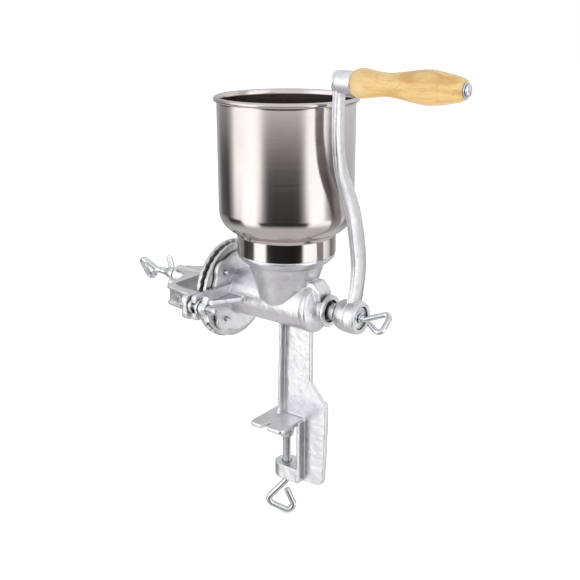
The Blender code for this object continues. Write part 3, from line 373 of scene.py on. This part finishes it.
class Surface(Nodes):
    """A new material around its Principled shader."""

    def __init__(self, name):
        self.material = bpy.data.materials.new(name)
        self.material.use_nodes = True
        super().__init__(self.material.node_tree)
        self.shader = self.tree.nodes["Principled BSDF"]
        self.place = self.add("ShaderNodeTexCoord").outputs["Object"]

    def stretched(self, scale):
        mapping = self.add("ShaderNodeMapping")
        mapping.inputs["Scale"].default_value = scale
        self.link(self.place, mapping.inputs["Vector"])
        return mapping.outputs["Vector"]

    def noise(self, scale, detail, where=None, rough=0.5):
        node = self.add("ShaderNodeTexNoise")
        node.inputs["Scale"].default_value = scale
        node.inputs["Detail"].default_value = detail
        node.inputs["Roughness"].default_value = rough
        self.link(where or self.place, node.inputs["Vector"])
        return node.outputs["Fac"]

    def axis(self, letter):
        """One coordinate of the surface point."""
        axes = self.add("ShaderNodeSeparateXYZ")
        self.link(self.place, axes.inputs["Vector"])
        return axes.outputs[letter]

    def bump(self, height, distance, strength, normal=None):
        node = self.add("ShaderNodeBump")
        node.inputs["Distance"].default_value = distance
        node.inputs["Strength"].default_value = strength
        self.link(height, node.inputs["Height"])
        if normal is not None:
            self.link(normal, node.inputs["Normal"])
        return node.outputs["Normal"]

    def painted_crevice_shade(self, reach):
        """Painted shade: darkens corners and creases by ambient occlusion, as a ramp for the base colour."""
        node = self.add("ShaderNodeAmbientOcclusion", samples=6)
        node.inputs["Distance"].default_value = reach
        return self.ramp(node.outputs["AO"], CREVICE_SHADE_STOPS)

    def feed(self, socket, value):
        self.plug(value, self.shader.inputs[socket])


def cast_iron(name, light, dark, rough, grain=1.0):
    """Tinned cast iron: bright, softly mottled and grained, with painted shade darkening its crevices."""
    made = Surface(name)
    blotch = made.noise(BLOTCH_SCALE, 5.0, rough=0.6)
    lumps = made.noise(LUMP_SCALE, 4.0, rough=0.6)
    sand = made.noise(SAND_SCALE, 3.0, rough=0.6)
    colour = made.ramp(blotch, ((0.30, dark), (0.55, light), (0.80, light)))
    speck = made.ramp(sand, ((0.34, (0.80, 0.80, 0.81)), (0.50, WHITE)))
    colour = made.mix(1.0, colour, speck, "MULTIPLY")
    # painted shade: the base colour is multiplied by the ambient-occlusion ramp in corners
    made.feed("Base Color", made.mix(1.0, colour, made.painted_crevice_shade(IRON_CREVICE_SHADE), "MULTIPLY"))
    made.feed("Metallic", 1.0)
    made.feed("Roughness", made.span(lumps, 0.3, 0.7, rough + 0.09, rough - 0.07))
    normal = made.bump(blotch, 0.0016, 0.30 * grain)
    normal = made.bump(lumps, 0.0006, 0.38 * grain, normal)
    made.feed("Normal", made.bump(sand, 0.00012, 0.40 * grain, normal))
    return made.material


def zinc(name, colour, rough):
    """Bright plated steel with faint drawn streaks and a few dull spots."""
    made = Surface(name)
    spots = made.noise(LUMP_SCALE, 4.0, rough=0.6)
    fine = made.noise(DRAWN_SCALE, 2.0)
    dull = tuple(0.86 * part for part in colour)
    plate = made.ramp(spots, ((0.32, dull), (0.52, colour), (1.0, colour)))
    # painted shade: the base colour is multiplied by the ambient-occlusion ramp in corners
    made.feed("Base Color", made.mix(1.0, plate, made.painted_crevice_shade(ZINC_CREVICE_SHADE), "MULTIPLY"))
    made.feed("Metallic", 1.0)
    made.feed("Roughness", made.span(spots, 0.3, 0.7, rough + 0.08, rough - 0.04))
    made.feed("Normal", made.bump(fine, 0.00005, 0.25))
    return made.material


def hopper_steel():
    """Warm satin sheet steel, brushed round; the collar and rim are brighter."""
    made = Surface("hopper_satin")
    low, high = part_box("hopper")
    lines = made.noise(1.0, 3.0, made.stretched(BRUSHED_SCALE), 0.6)
    cloud = made.noise(30.0, 3.0)
    tone = made.ramp(lines, ((0.30, (0.600, 0.563, 0.548)), (0.70, (0.635, 0.597, 0.582))))
    haze = made.ramp(cloud, ((0.35, (0.94, 0.93, 0.93)), (0.65, WHITE)))
    made.feed("Base Color", made.mix(1.0, tone, haze, "MULTIPLY"))
    made.feed("Metallic", 1.0)
    height = made.axis("Z")
    collar = made.span(height, low.z + 0.0195, low.z + 0.0225, 0.10, 0.15)
    rim = made.span(height, high.z - 0.0056, high.z - 0.0050, 0.0, -0.03)
    grain = made.span(lines, 0.3, 0.7, -0.012, 0.012)
    made.feed("Roughness", made.math("ADD", made.math("ADD", collar, rim), grain))
    made.feed("Normal", made.bump(lines, 0.00001, 0.15))
    return made.material


def wood_grain(made):
    """Grain drawn out along the grip, and bent a little by a slower noise."""
    warp = made.noise(26.0, 3.0, made.stretched((0.25, 1.0, 1.0)))
    drawn = made.add("ShaderNodeVectorMath", operation="MULTIPLY_ADD")
    made.link(made.place, drawn.inputs[0])
    drawn.inputs[1].default_value = GRAIN_SCALE
    shift = made.add("ShaderNodeCombineXYZ")
    made.link(warp, shift.inputs["Y"])
    made.link(warp, shift.inputs["Z"])
    scaled = made.add("ShaderNodeVectorMath", operation="SCALE")
    scaled.inputs["Scale"].default_value = 5.0
    made.link(shift.outputs["Vector"], scaled.inputs[0])
    made.link(scaled.outputs["Vector"], drawn.inputs[2])
    return made.noise(1.0, 4.0, drawn.outputs["Vector"], 0.55)


def wood():
    """Varnished beech with the grain along the grip, and a paler end."""
    made = Surface("grip_wood")
    grain = wood_grain(made)
    pores = made.noise(1.0, 2.0, made.stretched(PORE_SCALE), 0.5)
    base = made.ramp(grain, ((0.28, (0.56, 0.31, 0.095)), (0.46, (0.71, 0.46, 0.165)),
                             (0.60, (0.78, 0.545, 0.225)), (0.78, (0.66, 0.40, 0.14))))
    flecks = made.ramp(pores, ((0.30, (0.72, 0.62, 0.50)), (0.40, WHITE)))
    colour = made.mix(1.0, base, flecks, "MULTIPLY")
    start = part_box("handle_grip")[0].x
    pale = made.span(made.axis("X"), start + 0.006, start + 0.018, 0.55, 0.0)
    made.feed("Base Color", made.mix(pale, colour, (0.76, 0.57, 0.31, 1.0)))
    made.feed("Roughness", made.span(grain, 0.3, 0.7, 0.42, 0.30))
    made.feed("Coat Weight", 0.35)
    made.feed("Coat Roughness", 0.12)
    made.feed("Normal", made.bump(pores, 0.00006, 0.25, made.bump(grain, 0.00015, 0.2)))
    return made.material


IRON = cast_iron("tinned_iron", (0.82, 0.82, 0.84), (0.70, 0.70, 0.725), 0.34)
SMALL_IRON = cast_iron("tinned_iron_small", (0.83, 0.84, 0.86), (0.70, 0.71, 0.735), 0.26, 0.6)
BURR = cast_iron("ground_iron", (0.70, 0.69, 0.685), (0.54, 0.535, 0.53), 0.30, 0.6)
SHAFT = cast_iron("shaft_iron", (0.70, 0.70, 0.71), (0.56, 0.56, 0.57), 0.30, 0.6)
ZINC = zinc("zinc_plate", (0.70, 0.715, 0.745), 0.15)
HOPPER = hopper_steel()
WOOD = wood()


def settle(obj, body, slot, material, *nodes):
    """Gives a piece its material and its body, and hides the CAD nodes it stands for. The slot argument is
    not used.
    """
    obj.data.materials.clear()
    obj.data.materials.append(material)
    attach(obj, body)
    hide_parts(*nodes)


# ------------------------------------------------------------------ hopper
SHEET_T = 0.0011
WALL_R = 0.0635
COLLAR_R = 0.0468
COLLAR_HEIGHT = 0.0172
SHOULDER_HEIGHT = 0.0412
SHOULDER_R = 0.0220
SHOULDER_CENTRE_R = 0.0415
BEAD_R = 0.0024
BEAD_CENTRE_R = 0.0642
HOPPER_SEGMENTS = 224
HOPPER_STEPS = 28                 # on the shoulder and on the bead


def hopper_skin(foot, inset):
    """The collar and the shoulder above it, as (along, radius), set in by `inset`."""
    centre = (SHOULDER_CENTRE_R, foot + SHOULDER_HEIGHT)
    curve = arc(centre, SHOULDER_R - inset, -70.0, 0.0, HOPPER_STEPS)
    line = [(foot, COLLAR_R - inset), (foot + COLLAR_HEIGHT, COLLAR_R - inset)]
    return line + [(height, radius) for radius, height in curve]


def make_hopper():
    low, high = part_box("hopper")
    bead_z = high.z - BEAD_R
    outside = softened(hopper_skin(low.z, 0.0), 0.0016)
    inside = softened(hopper_skin(low.z, SHEET_T), 0.0020)
    bead = [(z, r) for r, z in arc((BEAD_CENTRE_R, bead_z), BEAD_R, -105.0, 138.0, HOPPER_STEPS)]
    levels = (low.z + SHOULDER_HEIGHT + 0.0012, bead_z - 0.0040, bead_z - 0.0030)
    outside += [(z, WALL_R) for z in levels]
    inside += [(z, WALL_R - SHEET_T) for z in levels]
    ring = outside + bead + inside[::-1]
    hopper = turned("hopper_sheet", ring, "Z", HOPPER_SEGMENTS, looped=True, crease=50.0)
    settle(hopper, "hopper", "hopper_steel", HOPPER, "hopper")


# ------------------------------------------------------------------ castings
FINE_VOXEL = 0.00035              # for the nuts and the pad
SLIGHT_LUMPS = 0.0001
CLOSE_LUMPS = 0.004               # size of the lumps on a small casting


def make_castings():
    body = recast(copy_of("body_casting", "casting_skin"), 0.00075, 5)
    settle(body, "frame", "tinned_iron", IRON, "body_casting")
    bridge = recast(copy_of("bridge", "bridge_skin"), 0.0006, 4)
    settle(bridge, "frame", "tinned_iron", IRON, "bridge")
    for node, name, rides_on in (("stud_wing_nut_near", "wing_nut_near", "stud_nut_near"),
                                 ("stud_wing_nut_far", "wing_nut_far", "stud_nut_far"),
                                 ("lock_wing_nut", "lock_nut_skin", "lock_nut")):
        nut = recast(copy_of(node, name), FINE_VOXEL, 4, SLIGHT_LUMPS, CLOSE_LUMPS)
        settle(nut, rides_on, "tinned_iron", SMALL_IRON, node)
    auger = recast(copy_of("auger", "auger_skin"), 0.00055, 2, SLIGHT_LUMPS)
    settle(auger, "crankshaft", "tinned_iron", SHAFT, "auger")
    pad = recast(copy_of("clamp_pad", "pad_skin"), FINE_VOXEL, 3, SLIGHT_LUMPS, CLOSE_LUMPS)
    settle(pad, "clamp_pad", "tinned_iron", IRON, "clamp_pad")


# ------------------------------------------------------------------ crank
ARM_BACK, ARM_FRONT = 0.0730, 0.0800
ARM_FOOT_HALF, ARM_TIP_HALF = 0.0100, 0.0065
ARM_CROWN = 0.0021                # how far the front falls away towards its edges
ARM_CURVE = ((0.0, 0.0), (0.148, 0.79), (0.264, 1.0), (0.464, 0.63), (0.630, -0.25), (0.751, -0.46),
             (0.862, -0.33), (1.0, 0.0))
ARM_SWAY = 0.0152
HUB_PROFILE = (
    (0.0600, 0.0079), (0.0600, 0.0092), (0.0616, 0.0118), (0.0640, 0.0138), (0.0680, 0.0151),
    (0.0720, 0.0157), (0.0750, 0.0160), (0.0820, 0.0160), (0.0850, 0.0153), (0.0863, 0.0146),
    (0.0865, 0.0138), (0.0865, 0.0112), (0.0860, 0.0108), (0.0830, 0.0108), (0.0830, 0.0079),
)
BOSS_PROFILE = ((0.0726, 0.0042), (0.0726, 0.0095), (0.0904, 0.0095), (0.0912, 0.0087), (0.0912, 0.0042))
GROOVE_X, GROOVE_DEPTH, GROOVE_SPREAD = 0.0753, 0.0007, 0.00055


def arm_half_width(share):
    t = min(1.0, max(0.0, (share - 0.3) / 0.5))
    return ARM_FOOT_HALF + (ARM_TIP_HALF - ARM_FOOT_HALF) * t * t * (3.0 - 2.0 * t)


def arm_section(half):
    """Flat behind and crowned in front, as (across, along the shaft)."""
    front = []
    for step in range(17):
        share = -1.0 + step / 8.0
        front.append((share * (half - 0.0004), ARM_FRONT - ARM_CROWN * abs(share) ** 2.4))
    left = [(-half + 0.0006, ARM_BACK), (-half, ARM_BACK + 0.0006), (-half, ARM_FRONT - 0.0030)]
    return left + front + [(-across, along) for across, along in reversed(left)]


def arm_rings():
    line = spline([(sway * ARM_SWAY, share * CRANK_RADIUS) for share, sway in ARM_CURVE], 14)
    rings = []
    last = len(line) - 1
    for index, point in enumerate(line):
        along = (line[min(index + 1, last)] - line[max(index - 1, 0)]).normalized()
        across = Vector((0.0, along.y, -along.x))
        middle = Vector((0.0, point.x, point.y))
        half = arm_half_width(point.y / CRANK_RADIUS)
        rings.append([middle + across * out + Vector((x, 0.0, 0.0)) for out, x in arm_section(half)])
    return rings


def cut_groove(obj):
    """The mould's parting line, a shallow groove round the hub."""
    normals = [Vector((0.0, item.vector.y, item.vector.z)) for item in obj.data.vertex_normals]
    for vertex, outward in zip(obj.data.vertices, normals):
        off = (vertex.co.x - GROOVE_X) / GROOVE_SPREAD
        vertex.co -= outward * (GROOVE_DEPTH * math.exp(-off ** 2))


def make_crank():
    arm = skinned("arm_skin", arm_rings())
    at_tip = Matrix.Translation((0.0, 0.0, CRANK_RADIUS))
    hub = turned("hub_part", HUB_PROFILE, looped=True)
    boss = turned("boss_part", BOSS_PROFILE, looped=True, place=at_tip)
    recast(joined(arm, hub, boss), 0.00045, 4)
    cut_groove(arm)
    arm.data.transform(ON_CRANK)
    arm.data.update()
    settle(arm, "crankshaft", "tinned_iron", IRON, "crank_arm")


# ------------------------------------------------------------------ burrs
SLIGHT_BEVEL = 0.0003


def make_burrs():
    for node, body, width in (("fixed_burr", "frame", SLIGHT_BEVEL),
                              ("rotating_burr", "crankshaft", SLIGHT_BEVEL),
                              ("burr_carrier", "crankshaft", 0.0006)):
        settle(bevelled(node, node + "_disc", width), body, "burr_iron", BURR, node)
    small = [("fixed_burr_screw_" + str(number), "frame") for number in range(1, 5)]
    small += [("carrier_screw_1", "crankshaft"), ("carrier_screw_2", "crankshaft"),
              ("drive_pin", "crankshaft"), ("thrust_button", "thrust")]
    for node, body in small:
        settle(bevelled(node, node + "_part", SLIGHT_BEVEL), body, "zinc_steel", ZINC, node)


# ------------------------------------------------------------------ wire screws, studs and washers
PITCH = 0.00125
THREAD_DEPTH = 0.55               # as a share of the pitch
THREAD_START = 0.0008
NECK_LENGTH = 0.0035              # over which a screw's shank thins or thickens to its wire
WIRE_STEP = 0.0012
ADJUST_TIP_X, ADJUST_APEX_X = -0.0942, -0.1745
ADJUST_R, ADJUST_WIRE_R = 0.0040, 0.0033
ADJUST_EYE = (0.0185, 0.0170, math.radians(118.0))
ADJUST_THREAD_END = 0.0685
CRANK_SCREW_R, CRANK_WIRE_R = 0.0030, 0.0027
CRANK_SHOULDER_R, CRANK_SHOULDER_T = 0.0046, 0.0016
CRANK_EYE = (0.0222, 0.0126, math.radians(31.1))
CRANK_PITCH = 0.0010
CLAMP_R, CLAMP_WIRE_R = 0.0042, 0.0032
CLAMP_WIRE_Z = -0.0708            # where the clamp screw's wire begins
CLAMP_EYE = ((0.0, 0.0), (0.0, -0.0030), (-0.0225, -0.0272), (0.0122, -0.0450), (0.0002, -0.0143))
STUD_R, STUD_COLLAR_R, STUD_HEAD_R = 0.0039, 0.0070, 0.0062
STUD_HEAD_X = -0.0711
COLLAR_BACK_X, COLLAR_FACE_X = -0.0637, -0.0593
STUD_THREAD_X = -0.0560
STUD_THREAD_DEPTH = 0.0006


def eye_corners(apex, eye, heading, wire_r):
    """Corners of a three-sided eye on the X axis; eye is (length, half its width, its turn)."""
    length, half, turn = eye
    across = Vector((0.0, math.cos(turn), math.sin(turn)))
    start = Vector((apex, 0.0, 0.0))
    far = start + Vector((heading * length, 0.0, 0.0))
    back = far - across * half
    short = 1.0 - 2.7 * wire_r / (back - start).length
    return [start, far + across * half, back, back.lerp(start, short)]


def eye_path(corners, radius):
    """A bent path, with points close enough together for smooth wire."""
    path = bent(corners, radius)
    fine = []
    for here, after in zip(path, path[1:]):
        fine += straight(here, after, WIRE_STEP)
    return fine + [path[-1]]


def shank_points(shank, step):
    """Close (point, radius) pairs along a shank given by its corners."""
    points = []
    for (here, r0), (after, r1) in zip(shank, shank[1:]):
        piece = straight(here, after, step)
        points += [(point, r0 + (r1 - r0) * index / len(piece)) for index, point in enumerate(piece)]
    return points


def eye_points(end, shank_r, eye, wire_r):
    """(point, radius) pairs round the eye, easing from the shank's radius to the wire's."""
    points = []
    run = 0.0
    previous = end
    for point in [end] + eye:
        run += (point - previous).length
        previous = point
        t = min(1.0, run / NECK_LENGTH)
        points.append((point, shank_r + (wire_r - shank_r) * t * t * (3.0 - 2.0 * t)))
    return points


def wire_screw(name, shank, eye, wire_r, pitch, thread_end, place=None):
    """A screw whose end is bent into an eye. shank holds (point, radius)."""
    points = shank_points(shank, pitch / 8.0) + eye_points(*shank[-1], eye, wire_r)
    clean = [points[0]]
    for point, radius in points[1:]:
        if (point - clean[-1][0]).length > SAME_POINT:
            clean.append((point, radius))
    end = clean[-1][0]
    back = (end - clean[-2][0]).normalized()
    clean += [(end + back * 0.0004, wire_r * 0.93), (end + back * 0.0007, wire_r * 0.75)]
    thread = (THREAD_START, thread_end, pitch, THREAD_DEPTH * pitch)
    return rod(name, [p for p, r in clean], [r for p, r in clean], thread, place)


def on_x(rows):
    """(x, radius) pairs as (point, radius) pairs."""
    return [(Vector((x, 0.0, 0.0)), radius) for x, radius in rows]


def make_adjusting_screw():
    corners = [Vector((ADJUST_APEX_X + ADJUST_R * 1.6, 0.0, 0.0))]
    corners += eye_corners(ADJUST_APEX_X, ADJUST_EYE, -1.0, ADJUST_WIRE_R)
    eye = eye_path(corners, 1.5 * ADJUST_WIRE_R)
    shank = on_x([(ADJUST_TIP_X, 0.7 * ADJUST_R), (ADJUST_TIP_X - 0.0012, ADJUST_R),
                  (eye[0].x + 0.0030, ADJUST_R)])
    screw = wire_screw("adjusting_wire", shank, eye, ADJUST_WIRE_R, PITCH, ADJUST_THREAD_END, ON_SHAFT)
    settle(screw, "adjusting_screw", "zinc_steel", ZINC, "adjusting_screw")


def make_crank_screw():
    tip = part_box("crank_screw")[0].x
    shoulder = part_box("crank_washer")[1].x + 0.0003
    face = shoulder + CRANK_SHOULDER_T
    apex = face + 0.0035
    corners = [Vector((apex - 0.0028, 0.0, 0.0))]
    corners += eye_corners(apex, CRANK_EYE, 1.0, CRANK_WIRE_R)
    eye = eye_path(corners, 1.5 * CRANK_WIRE_R)
    shank = on_x([
        (tip, 0.7 * CRANK_SCREW_R),
        (tip + 0.0008, CRANK_SCREW_R),
        (shoulder - 0.00005, CRANK_SCREW_R),
        (shoulder, 0.93 * CRANK_SHOULDER_R),
        (shoulder + 0.0002, CRANK_SHOULDER_R),
        (face - 0.0006, CRANK_SHOULDER_R),
        (face - 0.0004, 0.93 * CRANK_SHOULDER_R),
        (face - 0.0003, 0.8 * CRANK_SHOULDER_R),
    ])
    thread_end = shoulder - tip - 0.001
    screw = wire_screw("crank_screw_wire", shank, eye, CRANK_WIRE_R, CRANK_PITCH, thread_end, ON_CRANK)
    settle(screw, "crank_screw", "zinc_steel", ZINC, "crank_screw")
    washer = bevelled("crank_washer", "crank_washer_disc", SLIGHT_BEVEL)
    settle(washer, "crank_washer", "zinc_steel", ZINC, "crank_washer")


def make_clamp_screw():
    across = Vector((math.cos(CLAMP_TURN), math.sin(CLAMP_TURN), 0.0))
    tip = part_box("clamp_screw")[1].z
    corners = [across * out + Vector((0.0, 0.0, CLAMP_WIRE_Z + drop)) for out, drop in CLAMP_EYE]
    eye = eye_path(corners, 2.0 * CLAMP_WIRE_R)
    shank = [(Vector((0.0, 0.0, tip)), 0.8 * CLAMP_R), (Vector((0.0, 0.0, tip - 0.0009)), CLAMP_R),
             (Vector((0.0, 0.0, CLAMP_WIRE_Z + 0.0020)), CLAMP_R)]
    screw = wire_screw("clamp_wire", shank, eye, CLAMP_WIRE_R, PITCH, tip - CLAMP_WIRE_Z - 0.003)
    settle(screw, "clamp_screw", "zinc_steel", ZINC, "clamp_screw")


def stud_points(back, front):
    """(point, radius) pairs along a stud: riveted head, collar, and the threaded shank."""
    points = on_x([
        (back, 0.4 * STUD_HEAD_R),
        (back + 0.0004, 0.75 * STUD_HEAD_R),
        (back + 0.0016, 0.95 * STUD_HEAD_R),
        (back + 0.0027, STUD_HEAD_R),
        (STUD_HEAD_X, STUD_HEAD_R),
        (STUD_HEAD_X, STUD_R),
        (COLLAR_BACK_X, STUD_R),
        (COLLAR_BACK_X, STUD_COLLAR_R - 0.0005),
        (COLLAR_BACK_X + 0.0005, STUD_COLLAR_R),
        (COLLAR_FACE_X - 0.0005, STUD_COLLAR_R),
        (COLLAR_FACE_X, STUD_COLLAR_R - 0.0005),
        (COLLAR_FACE_X, STUD_R),
    ])
    start = Vector((COLLAR_FACE_X + 0.0001, 0.0, 0.0))
    points += [(point, STUD_R) for point in straight(start, Vector((front - 0.0012, 0.0, 0.0)), 0.00015)]
    return points + on_x([(front - 0.0008, 0.85 * STUD_R), (front, 0.45 * STUD_R)])


def make_studs():
    low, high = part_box("bridge_stud_near")
    points = stud_points(low.x, high.x)
    thread = (STUD_THREAD_X - low.x, high.x - 0.001 - low.x + 0.0035, PITCH, STUD_THREAD_DEPTH)
    for name, side in (("near", -1.0), ("far", 1.0)):
        place = Matrix.Translation((0.0, side * STUD_Y, SHAFT_Z))
        stud = rod("stud_" + name, [p for p, r in points], [r for p, r in points], thread, place)
        settle(stud, "frame", "zinc_steel", ZINC, "bridge_stud_" + name)
        node = "stud_washer_" + name
        settle(bevelled(node, node + "_disc", SLIGHT_BEVEL), node, "zinc_steel", ZINC, node)


# ------------------------------------------------------------------ grip
GRIP_SHAPE = ((0.0, 0.0105), (0.055, 0.0123), (0.110, 0.0120), (0.33, 0.0097), (0.64, 0.0137),
              (0.77, 0.0132), (0.945, 0.0100), (1.0, 0.0080))
RIVET_PROFILE = (
    (0.0701, 0.0016), (0.0704, 0.0034), (0.0712, 0.0047), (0.0722, 0.0050), (0.0723, 0.0050),
    (0.0723, 0.0038), (0.1921, 0.0038), (0.1921, 0.0050), (0.1930, 0.0050), (0.1936, 0.0045),
    (0.1941, 0.0034), (0.1943, 0.0016),
)


def make_grip():
    start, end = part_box("handle_grip")[0].x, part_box("handle_grip")[1].x
    length = end - start
    shape = [(start + share * length, radius) for share, radius in GRIP_SHAPE]
    outside = [tuple(point) for point in spline(shape, 10)]
    nose = [(start, 0.0050), (start, 0.0096), (start + 0.0003, 0.0102)]
    tail = [(end - 0.0003, 0.0078), (end, 0.0072), (end, 0.0043)]
    grip = turned("grip_turned", nose + outside[1:-1] + tail, looped=True, place=ON_GRIP, crease=50.0)
    settle(grip, "grip", "wood", WOOD, "handle_grip")
    rivet = turned("rivet_turned", RIVET_PROFILE, segments=64, place=ON_GRIP)
    settle(rivet, "crankshaft", "zinc_steel", ZINC, "handle_rivet")
    washer = bevelled("handle_washer", "handle_washer_disc", SLIGHT_BEVEL)
    settle(washer, "crankshaft", "zinc_steel", ZINC, "handle_washer")


# ------------------------------------------------------------------ studio
CAMERA_AT = (0.5038, -0.6685, 0.4066)
CAMERA_PITCH, CAMERA_HEADING = math.radians(71.88), math.radians(36.78)
CAMERA_LENS = 56.54
LIGHT_AZIMUTH = math.atan2(-0.801, 0.599)
FLOOR_HALF = 6.0
FLOOR_DROP = 0.0005
OVERHEAD = (0.94, 0.95, 0.97, 1.0)
UNDERFOOT = (0.72, 0.70, 0.70, 1.0)
CLEAR_WHITE = (1.0, 1.0, 1.0, 1.0)

# Radiance round the horizon, by degrees to the right of LIGHT_AZIMUTH, in three bands of height
LOW_BAND = ((-180, 0.50), (-150, 0.45), (-120, 0.30), (-113, 0.05), (-84, 0.05), (-77, 1.75), (-52, 1.80),
            (-45, 0.03), (35, 0.012), (42, 1.70), (92, 1.50), (116, 0.85), (124, 0.20), (150, 0.45),
            (180, 0.50))
MIDDLE_BAND = ((-180, 0.62), (-150, 0.50), (-136, 0.14), (-112, 0.05), (-102, 0.50), (-93, 1.60), (-58, 1.85),
               (-45, 1.55), (-38, 0.50), (-31, 0.04), (-20, 0.006), (10, 0.006), (21, 0.03), (28, 0.45),
               (36, 1.70), (63, 1.85), (69, 0.80), (75, 0.10), (92, 0.12), (103, 0.65), (150, 0.70),
               (180, 0.62))
HIGH_BAND = ((-180, 0.55), (-150, 0.50), (-130, 0.40), (-112, 0.45), (-101, 0.80), (-92, 1.50), (-50, 1.70),
             (-36, 1.25), (-22, 1.05), (16, 1.05), (27, 1.20), (36, 1.60), (66, 1.70), (76, 0.70), (90, 0.75),
             (104, 1.05), (150, 0.80), (180, 0.55))


def band(world, share, rows):
    """Radiance round the horizon, from its (degrees, level) rows."""
    stops = [((angle + 180.0) / 360.0, (level, level, level)) for angle, level in rows]
    return world.ramp(share, stops)


def studio_light(world):
    """The colour of the studio in every direction."""
    coordinates = world.add("ShaderNodeTexCoord")
    axes = world.add("ShaderNodeSeparateXYZ")
    world.link(coordinates.outputs["Generated"], axes.inputs["Vector"])
    heading = world.math("ARCTAN2", axes.outputs["Y"], axes.outputs["X"])
    share = world.math("DIVIDE", world.math("SUBTRACT", heading, LIGHT_AZIMUTH), TAU)
    share = world.math("FRACT", world.math("ADD", share, 0.5), 0.0)
    height = axes.outputs["Z"]

    def over(low, high, below, above):
        return world.mix(world.span(height, low, high, kind="SMOOTHSTEP"), below, above)

    lower = over(-0.275, -0.225, band(world, share, LOW_BAND), band(world, share, MIDDLE_BAND))
    sides = over(-0.175, -0.105, lower, band(world, share, HIGH_BAND))
    upper = over(0.30, 0.75, sides, OVERHEAD)
    return over(-0.70, -0.36, UNDERFOOT, upper)


def make_world():
    scene_world = bpy.data.worlds.new("studio")
    bpy.context.scene.world = scene_world
    scene_world.use_nodes = True
    scene_world.node_tree.nodes.clear()
    world = Nodes(scene_world.node_tree)
    light = world.add("ShaderNodeBackground")
    world.link(studio_light(world), light.inputs["Color"])
    plain = world.add("ShaderNodeBackground")
    plain.inputs["Color"].default_value = CLEAR_WHITE
    choice = world.add("ShaderNodeMixShader")
    world.link(world.add("ShaderNodeLightPath").outputs["Is Camera Ray"], choice.inputs["Fac"])
    world.link(light.outputs["Background"], choice.inputs[1])
    world.link(plain.outputs["Background"], choice.inputs[2])
    output = world.add("ShaderNodeOutputWorld")
    world.link(choice.outputs["Shader"], output.inputs["Surface"])


def make_floor():
    level = CAD_BOX[0].z - FLOOR_DROP
    corners = [(x * FLOOR_HALF, y * FLOOR_HALF, level) for x, y in ((-1, -1), (1, -1), (1, 1), (-1, 1))]
    floor = add_mesh("floor", corners, [(0, 1, 2, 3)])
    made = Surface("floor_white")
    made.feed("Base Color", (0.93, 0.93, 0.93, 1.0))
    made.feed("Roughness", 0.9)
    made.feed("Specular IOR Level", 0.1)
    made.feed("Emission Color", CLEAR_WHITE)
    made.feed("Emission Strength", 0.35)
    floor.data.materials.append(made.material)
    floor.visible_glossy = False


def make_camera():
    camera = bpy.data.cameras.new("camera")
    camera.lens = CAMERA_LENS
    camera.sensor_width = 36.0
    camera.clip_start = 0.01
    eye = bpy.data.objects.new("camera", camera)
    eye.location = CAMERA_AT
    eye.rotation_euler = (CAMERA_PITCH, 0.0, CAMERA_HEADING)
    bpy.context.scene.collection.objects.link(eye)
    bpy.context.scene.camera = eye


make_camera()
make_world()
make_floor()
make_hopper()
make_castings()
make_crank()
make_burrs()
make_adjusting_screw()
make_crank_screw()
make_clamp_screw()
make_studs()
make_grip()
bpy.context.scene.view_settings.view_transform = "Standard"
